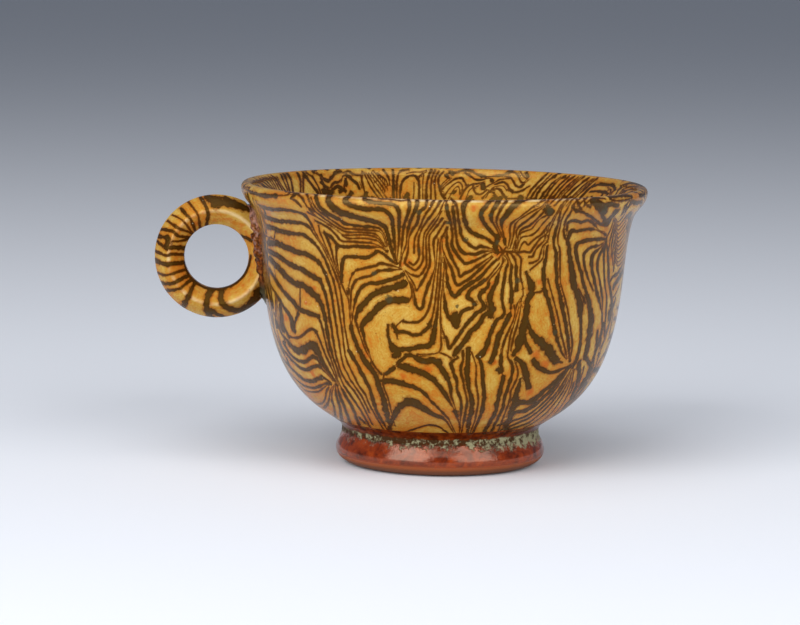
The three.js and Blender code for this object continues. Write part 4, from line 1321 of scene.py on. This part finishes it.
# Painted highlight on the front of the lip's crest: its band's height, where the front ends, and its share
CREST_HIGHLIGHT_BAND = 0.5
CREST_FRONT = -38
CREST_SIDE = -26
CREST_SHARE = 1.1
CLAY_GLAZE = 0.3
LIP_GLAZE_RISE = 0.4
CLAY_RELIEF = 0.16


def stripe_depth(graph, half, across, torn):
    """How far inside the torn edge of a dark stripe a place is, or below 0 how far outside it."""
    near = graph.less(graph.attribute("near"), MESH_SLACK)
    distance = graph.math("MAXIMUM", graph.math("ABSOLUTE", across), near)
    tear = graph.times(torn, graph.scaled(half, TEAR_PER_HALF, TEAR_LEAST))
    return graph.math("ADD", graph.less(half, distance), tear)


def light_clay(graph, across, fine, broad):
    """Cloudy amber with streaks along the stripes, darker and more orange low on the bowl as painted shade.
    """
    streaked = graph.scaled(broad, by=0.48, plus=graph.streaks(across, broad))
    cloud = graph.scaled(fine, by=0.3, plus=streaked)
    # Painted shade: the cloud shifted towards orange low on the bowl
    high = graph.step(graph.coordinate("Z"), SHADE_FULL_BELOW, SHADE_GONE_ABOVE)
    cloud = graph.scaled(high, LOW_SHADE_SHARE, plus=graph.less(cloud, LOW_SHADE_SHARE))
    return graph.ramp(cloud, ((0.4, ORANGE), (0.5, AMBER), (0.6, PALE_AMBER)))


def painted_highlight_clay(graph, clay, broad):
    """Painted highlight: clay made pale along the handle's ridges and on the front of the lip's crest."""
    crest = graph.step(graph.coordinate("Z"), CUP_HEIGHT - CREST_HIGHLIGHT_BAND, CUP_HEIGHT - CREST_HIGHLIGHT_BAND / 2)
    front = graph.fall(graph.coordinate("Y"), CREST_FRONT, CREST_SIDE)
    painted_light = graph.scaled(crest, graph.times(front, CREST_SHARE), plus=graph.attribute("painted_light"))
    painted_light = graph.times(painted_light, graph.step(broad, low=0.3, high=0.6))
    return graph.tinted(clay, SPECK_AND_HIGHLIGHT, painted_light, share=0.4)


def fringed_clay(graph, clay, half, depth):
    """Light clay stained beside the dark stripes: a broad halo and a narrow rusty fringe."""
    halo = graph.step(depth, HALO_FROM, HALO_FULL)
    fringe = graph.step(depth, graph.scaled(half, FRINGE_PER_HALF, FRINGE_LEAST), FRINGE_FULL)
    stained = graph.tinted(clay, HALO, halo, share=0.4)
    return graph.tinted(stained, FRINGE, fringe, share=0.65)


def dark_clay(graph, half, depth, fine):
    """Clay of the stripes: redder in thin ones, olive inside wide ones, greyed here and there."""
    patchy = graph.scaled(fine, by=0.5, plus=graph.less(depth, amount=0.25))
    body = graph.mix(graph.step(half, low=0.22, high=0.4), RED_BROWN, EDGE_BROWN)
    body = graph.mix(graph.step(patchy, low=0.15, high=0.45), body, OLIVE_GREY)
    greyed = graph.step(graph.noise(size=2.4, detail=3), low=0.6, high=0.74)
    return graph.tinted(body, GREY_GREEN, greyed, share=0.4)


def marbled_clay():
    """Amber glaze over light clay with dark stripes: the stripes' edges are torn, with a rusty fringe."""
    graph = Graph("marbled_clay")
    half = graph.attribute("half")
    across = graph.attribute("across")
    torn = graph.less(graph.noise(size=1.3, detail=4, roughness=0.55), NOISE_MIDDLE)
    fine = graph.noise(size=0.55, detail=4, roughness=0.65)
    broad = graph.noise(size=6.0, detail=4, roughness=0.6, distortion=0.4)
    depth = stripe_depth(graph, half, across, torn)
    uneven = graph.scaled(torn, by=1.2, plus=graph.less(fine, NOISE_MIDDLE))
    # Rust of the bowl's spots and of the coil's inner half, the latter partly painted shade
    rust_and_shade = graph.step(graph.math("ADD", graph.attribute("rust_and_shade"), uneven), low=0.1, high=0.8)
    clay = graph.tinted(light_clay(graph, across, fine, broad), RUST, rust_and_shade, share=0.85)
    # Painted highlight on the lip's crest and the handle's ridges, then the stains beside the stripes
    clay = fringed_clay(graph, painted_highlight_clay(graph, clay, broad), half, depth)
    dark = graph.step(depth, -EDGE_BLUR, EDGE_BLUR)
    base = graph.mix(dark, clay, dark_clay(graph, half, depth, fine))
    grey = graph.times(graph.attribute("grey"), graph.scaled(uneven, by=2.5, plus=1))
    base = graph.tinted(base, GREY_GREEN, graph.step(grey, low=0.15, high=0.5), share=0.8)
    speck = graph.fall(graph.spots(size=3.4), low=0.025, high=0.055)
    base = graph.tinted(base, SPECK_AND_HIGHLIGHT, speck, share=0.45)
    pit = graph.fall(graph.spots(size=1.5), low=0.05, high=0.11)
    base = graph.tinted(base, PIT, pit, share=0.5)
    rim = graph.step(graph.coordinate("Z"), CUP_HEIGHT - LIP_THICKNESS, CUP_HEIGHT - LIP_THICKNESS / 2)
    graph.glaze(graph.scaled(rim, LIP_GLAZE_RISE, CLAY_GLAZE), graph.mix(rim, GLAZE_TINT, LIP_SHINE))
    roughness = graph.scaled(graph.noise(size=1.6, detail=3), by=0.16, plus=0.08)
    relief = graph.scaled(graph.noise(size=2.6, detail=3), by=0.8, plus=graph.times(fine, by=0.5))
    relief = graph.less(relief, graph.times(pit, by=0.6))
    return graph.finish(base, roughness, graph.bump(relief, CLAY_RELIEF))


# Heights on the handle's slip between which its painted highlight and its grey lower end fade
SLIP_HIGHLIGHT_LOW = RING_Z - 1
SLIP_HIGHLIGHT_HIGH = RING_Z + 3
PATCH_LOW = RING_Z + 4
PATCH_HIGH = RING_Z + 8
GREY_LOW = RING_Z - 9.5
GREY_HIGH = RING_Z - 6.5
SLIP_HIGHLIGHT_SHARE = 0.6
SLIP_HIGHLIGHT = colour(178, 138, 124)

# Heights between which the crust's edges fade, how unevenly they run, and where its right side starts
STAIN_BOTTOM = (6.6, 7.4)
FLAKE_BOTTOM = (5.8, 6.6)
CRUST_TOP = (8.1, 8.5)
CRUST_DRIP = 5.0
CRUST_FRAY = 1.2
CRUST_RIGHT = 0.8
CRUST_RIGHT_FROM = 2
CRUST_RIGHT_FULL = 18
STAIN = colour(54, 36, 22)
FLAKE = colour(156, 154, 120)

# Foot: heights between which bare clay and the painted contact shade at the standing edge fade into the glaze
BARE_TOP = (2.4, 3.2)
CONTACT_SHADE_TOP = (1.5, 2.4)
BARE = colour(150, 82, 46)
CONTACT_SHADE = colour(92, 58, 38)
RED_GLAZE_TINT = colour(255, 222, 198)
NECK_GLAZE = 0.15
FOOT_GLAZE = 0.8


def handle_slip():
    """Mottled red-brown slip beside the handle, with a painted pinkish highlight above and grey at its lower
    end.
    """
    graph = Graph("handle_slip")
    height = graph.coordinate("Z")
    blotch = graph.noise(size=0.9, detail=4, roughness=0.65, distortion=0.3)
    dark, red, pale = colour(34, 12, 2), colour(78, 32, 7), colour(122, 64, 22)
    base = graph.ramp(blotch, ((0.38, dark), (0.5, red), (0.62, pale)))
    # Painted highlight in broken pinkish patches over the slip's upper part
    upper = graph.step(height, SLIP_HIGHLIGHT_LOW, SLIP_HIGHLIGHT_HIGH)
    patch = graph.step(height, PATCH_LOW, PATCH_HIGH)
    broken = graph.scaled(patch, by=0.05, plus=graph.noise(size=1.1, detail=5, roughness=0.8))
    pale_highlight = graph.times(graph.step(broken, low=0.46, high=0.68), graph.times(upper, SLIP_HIGHLIGHT_SHARE))
    base = graph.mix(pale_highlight, base, SLIP_HIGHLIGHT)
    clean = graph.step(graph.scaled(blotch, by=-4, plus=height), GREY_LOW, GREY_HIGH)
    base = graph.mix(clean, GREY_GREEN, base)
    graph.glaze(CLAY_GLAZE, GLAZE_TINT)
    roughness = graph.scaled(blotch, by=0.2, plus=0.1)
    return graph.finish(base, roughness, graph.bump(blotch, distance=0.2))


def crusted(graph, base):
    """A colour with a dark stain and broken whitish flakes where foot and neck meet, and the crust's mask."""
    height = graph.coordinate("Z")
    right = graph.step(graph.coordinate("X"), AXIS + CRUST_RIGHT_FROM, AXIS + CRUST_RIGHT_FULL)
    ragged = graph.less(graph.noise(size=2.2, detail=5, roughness=0.7, distortion=0.6), NOISE_MIDDLE)
    low_edge = graph.scaled(ragged, CRUST_DRIP, plus=graph.scaled(right, CRUST_RIGHT, plus=height))
    below = graph.fall(graph.scaled(ragged, CRUST_FRAY, plus=height), *CRUST_TOP)
    stain = graph.times(graph.step(low_edge, *STAIN_BOTTOM), below)
    base = graph.tinted(base, STAIN, stain, share=0.9)
    clustered = graph.scaled(right, by=0.05, plus=graph.times(graph.noise(size=1.9, detail=3), by=0.5))
    flaky = graph.scaled(graph.noise(size=0.5, detail=4, roughness=0.75), by=0.5, plus=clustered)
    flakes = graph.times(graph.step(flaky, low=0.5, high=0.58), below)
    flakes = graph.times(flakes, graph.step(low_edge, *FLAKE_BOTTOM))
    base = graph.tinted(base, FLAKE, flakes, share=0.78)
    return base, graph.math("MAXIMUM", stain, flakes)


def neck_slip():
    """Deep red glossy slip of the neck, crusted where it meets the foot."""
    graph = Graph("neck_slip")
    blotch = graph.noise(size=1.6, detail=4, roughness=0.6, distortion=0.3)
    dark, red, bright = colour(52, 12, 1), colour(86, 27, 2), colour(108, 42, 5)
    base, crust = crusted(graph, graph.ramp(blotch, ((0.36, dark), (0.5, red), (0.64, bright))))
    graph.glaze(NECK_GLAZE, GLAZE_TINT)
    roughness = graph.scaled(crust, by=0.5, plus=0.12)
    return graph.finish(base, roughness, graph.bump(crust, distance=0.12))


def foot_clay():
    """Glossy red-brown glaze, crusted on the shoulder, with bare clay low down and painted shade at the
    standing edge.
    """
    graph = Graph("foot_clay")
    height = graph.coordinate("Z")
    blotch = graph.noise(size=2.6, detail=4, roughness=0.65, distortion=0.4)
    grain = graph.noise(size=0.5, detail=4, roughness=0.65)
    dark, red, bright = colour(72, 18, 1), colour(116, 38, 3), colour(142, 54, 8)
    base = graph.ramp(blotch, ((0.34, dark), (0.5, red), (0.66, bright)))
    base = graph.tinted(base, colour(72, 18, 2), graph.step(grain, low=0.5, high=0.68), share=0.4)
    base, crust = crusted(graph, base)
    bare = graph.fall(graph.math("ADD", blotch, height), *BARE_TOP)
    base = graph.tinted(base, BARE, bare, share=0.8)
    # Painted contact shade, darker towards the standing edge
    painted_light = graph.fall(graph.scaled(grain, by=0.8, plus=height), *CONTACT_SHADE_TOP)
    base = graph.tinted(base, CONTACT_SHADE, painted_light, share=0.7)
    dull = graph.math("MAXIMUM", crust, bare)
    graph.glaze(graph.scaled(dull, by=-0.6, plus=FOOT_GLAZE), RED_GLAZE_TINT)
    roughness = graph.scaled(dull, by=0.45, plus=graph.scaled(grain, by=0.1, plus=0.05))
    texture = graph.scaled(grain, by=0.2, plus=graph.times(graph.noise(size=2.4, detail=3), by=0.2))
    return graph.finish(base, roughness, graph.bump(graph.math("ADD", crust, texture), distance=0.16))


def foot_outline():
    """Section of the foot ring: standing flat, rounded bulge, shoulder and the hollow inside."""
    inner = FOOT_CONTACT_RADIUS - FOOT_CONTACT_WIDTH
    bulge_angle = np.linspace(-UPRIGHT, 0, BULGE_ROWS)
    bulge = np.stack([
        FOOT_CONTACT_RADIUS + (FOOT_RADIUS - FOOT_CONTACT_RADIUS) * np.cos(bulge_angle),
        FOOT_BULGE_HEIGHT + FOOT_BULGE_HEIGHT * np.sin(bulge_angle),
    ], axis=1)
    rise = FOOT_TOP - FOOT_BULGE_HEIGHT
    shoulder = sweep(
        (FOOT_RADIUS, FOOT_BULGE_HEIGHT), UPRIGHT, (FOOT_TOP_RADIUS, FOOT_TOP), UPRIGHT,
        (rise, rise), SHOULDER_FULLNESS, SHOULDER_ROWS,
    )[1:]
    bevel_in, bevel_up = RECESS_BEVEL
    inside = [(inner - RECESS_LEAN, FOOT_TOP - RECESS_DROP), (inner - bevel_in, bevel_up), (inner, 0)]
    return np.concatenate([bulge, shoulder, inside])


def neck_outline():
    """Section of the dark slip neck: hollow outside, thin over the bowl's underside and onto the foot."""
    low = (FOOT_TOP_RADIUS + NECK_LAP_OUT, FOOT_TOP - NECK_LAP_DOWN)
    high = (NECK_TOP_RADIUS, np.interp(NECK_TOP_RADIUS, WALL[:, 0], WALL[:, 1]) - NECK_SKIN)
    middle = (FOOT_TOP_RADIUS - NECK_HOLLOW, FOOT_HEIGHT - NECK_HOLLOW)
    t = np.linspace(0, 1, NECK_ROWS)[:, None]
    hollow = (1 - t) ** 2 * np.array(low) + 2 * (1 - t) * t * np.array(middle) + t ** 2 * np.array(high)
    tucked = (NECK_TOP_RADIUS, high[1] + NECK_TUCK * NECK_SKIN)
    inside = [
        (NECK_INNER_RADIUS, FOOT_HEIGHT - NECK_INNER_DROP),
        (NECK_INNER_RADIUS, low[1] - NECK_INNER_BELOW),
    ]
    return np.concatenate([hollow, [tucked], inside])


def add_bowl(clay):
    vertices, faces = turned(bowl_outline(), front_crowded_angles(BOWL_SEGMENTS), closed=False)
    bowl = add_piece("bowl_clay", vertices, faces, clay, "bowl", "marbled_clay")
    surface = BVHTree.FromPolygons(vertices.tolist(), faces)
    mark_stripes(bowl, vertices, bowl_stripes(surface))
    mark_spots(bowl, vertices, surface, "grey", GREY_SPOTS_AND_SHADE)
    mark_spots(bowl, vertices, surface, "rust_and_shade", RUST_SPOTS)


def add_handle(clay):
    vertices, faces = ring_mesh()
    ring = add_piece("handle_coil", vertices, faces, clay, "handle_ring", "marbled_clay")
    surface = BVHTree.FromPolygons(vertices.tolist(), faces)
    mark_stripes(ring, vertices, handle_stripes_and_shade(surface))
    mark_ring(ring, vertices)


def add_handle_slip():
    add_piece("handle_slip", *slip_mesh(), handle_slip(), "handle_luting", "luting_slip")


def add_neck():
    vertices, faces = turned(neck_outline(), even_angles(FOOT_SEGMENTS), closed=True)
    add_piece("foot_neck", vertices, faces, neck_slip(), "foot_luting", "luting_slip")


def add_foot():
    vertices, faces = turned(foot_outline(), even_angles(FOOT_SEGMENTS), closed=True)
    add_piece("foot_clay", vertices, faces, foot_clay(), "foot_ring", "foot_clay")


# Floor, sky and lamps, in metres
FLOOR_SIZE = 14.0
FLOOR_TINT = colour(236, 239, 246)
FLOOR_ROUGHNESS = 0.75
SKY_TINT = colour(206, 214, 228)
SKY_STRENGTH = 0.25
# Soft boxes: name, turn right of the camera and height angle in degrees, distance, width, height, power
LAMPS = [
    ("key", -37, 24, 1.0, 0.8, 0.8, 8.6),
    ("fill", 41, 24, 1.0, 0.8, 0.8, 6.3),
    ("top", -20, 66, 1.1, 1.0, 1.0, 5.2),
]
LAMP_AIM = Vector((0.0, 0.0, 0.03))


def pale_floor():
    material = bpy.data.materials.new("pale_floor")
    material.use_nodes = True
    shader = material.node_tree.nodes["Principled BSDF"]
    shader.inputs["Base Color"].default_value = FLOOR_TINT
    shader.inputs["Roughness"].default_value = FLOOR_ROUGHNESS
    return material


def add_floor():
    half = FLOOR_SIZE / 2
    corners = [(-half, -half, 0), (half, -half, 0), (half, half, 0), (-half, half, 0)]
    mesh = bpy.data.meshes.new("floor")
    mesh.from_pydata(corners, [], [(0, 1, 2, 3)])
    mesh.materials.append(pale_floor())
    floor = bpy.data.objects.new("floor", mesh)
    bpy.context.scene.collection.objects.link(floor)


def add_lights():
    for name, turn, rise, distance, width, height, power in LAMPS:
        lamp = bpy.data.lights.new(name, "AREA")
        lamp.shape = "RECTANGLE"
        lamp.size = width
        lamp.size_y = height
        lamp.energy = power
        turn = math.radians(turn)
        rise = math.radians(rise)
        away = Vector((math.sin(turn) * math.cos(rise), -math.cos(turn) * math.cos(rise), math.sin(rise)))
        holder = bpy.data.objects.new(name, lamp)
        holder.location = LAMP_AIM + distance * away
        holder.rotation_euler = away.to_track_quat("Z", "Y").to_euler()
        bpy.context.scene.collection.objects.link(holder)


def add_sky():
    world = bpy.data.worlds.new("studio")
    world.use_nodes = True
    background = world.node_tree.nodes["Background"]
    background.inputs["Color"].default_value = SKY_TINT
    background.inputs["Strength"].default_value = SKY_STRENGTH
    bpy.context.scene.world = world


def add_camera():
    lens = bpy.data.cameras.new("camera")
    lens.sensor_width = SENSOR_WIDTH
    lens.lens = FOCAL_PIXELS / IMAGE_WIDTH * SENSOR_WIDTH
    lens.clip_start = NEAR_CLIP_METRES
    lens.clip_end = FAR_CLIP_METRES
    camera = bpy.data.objects.new("camera", lens)
    camera.matrix_world = Matrix.LocRotScale(CAMERA_PLACE * UNIT, CAMERA_TURN, None)
    bpy.context.scene.collection.objects.link(camera)
    bpy.context.scene.camera = camera


clay = marbled_clay()
add_bowl(clay)
add_handle(clay)
add_handle_slip()
add_neck()
add_foot()
add_floor()
add_lights()
add_sky()
add_camera()
bpy.context.scene.view_settings.view_transform = "Standard"
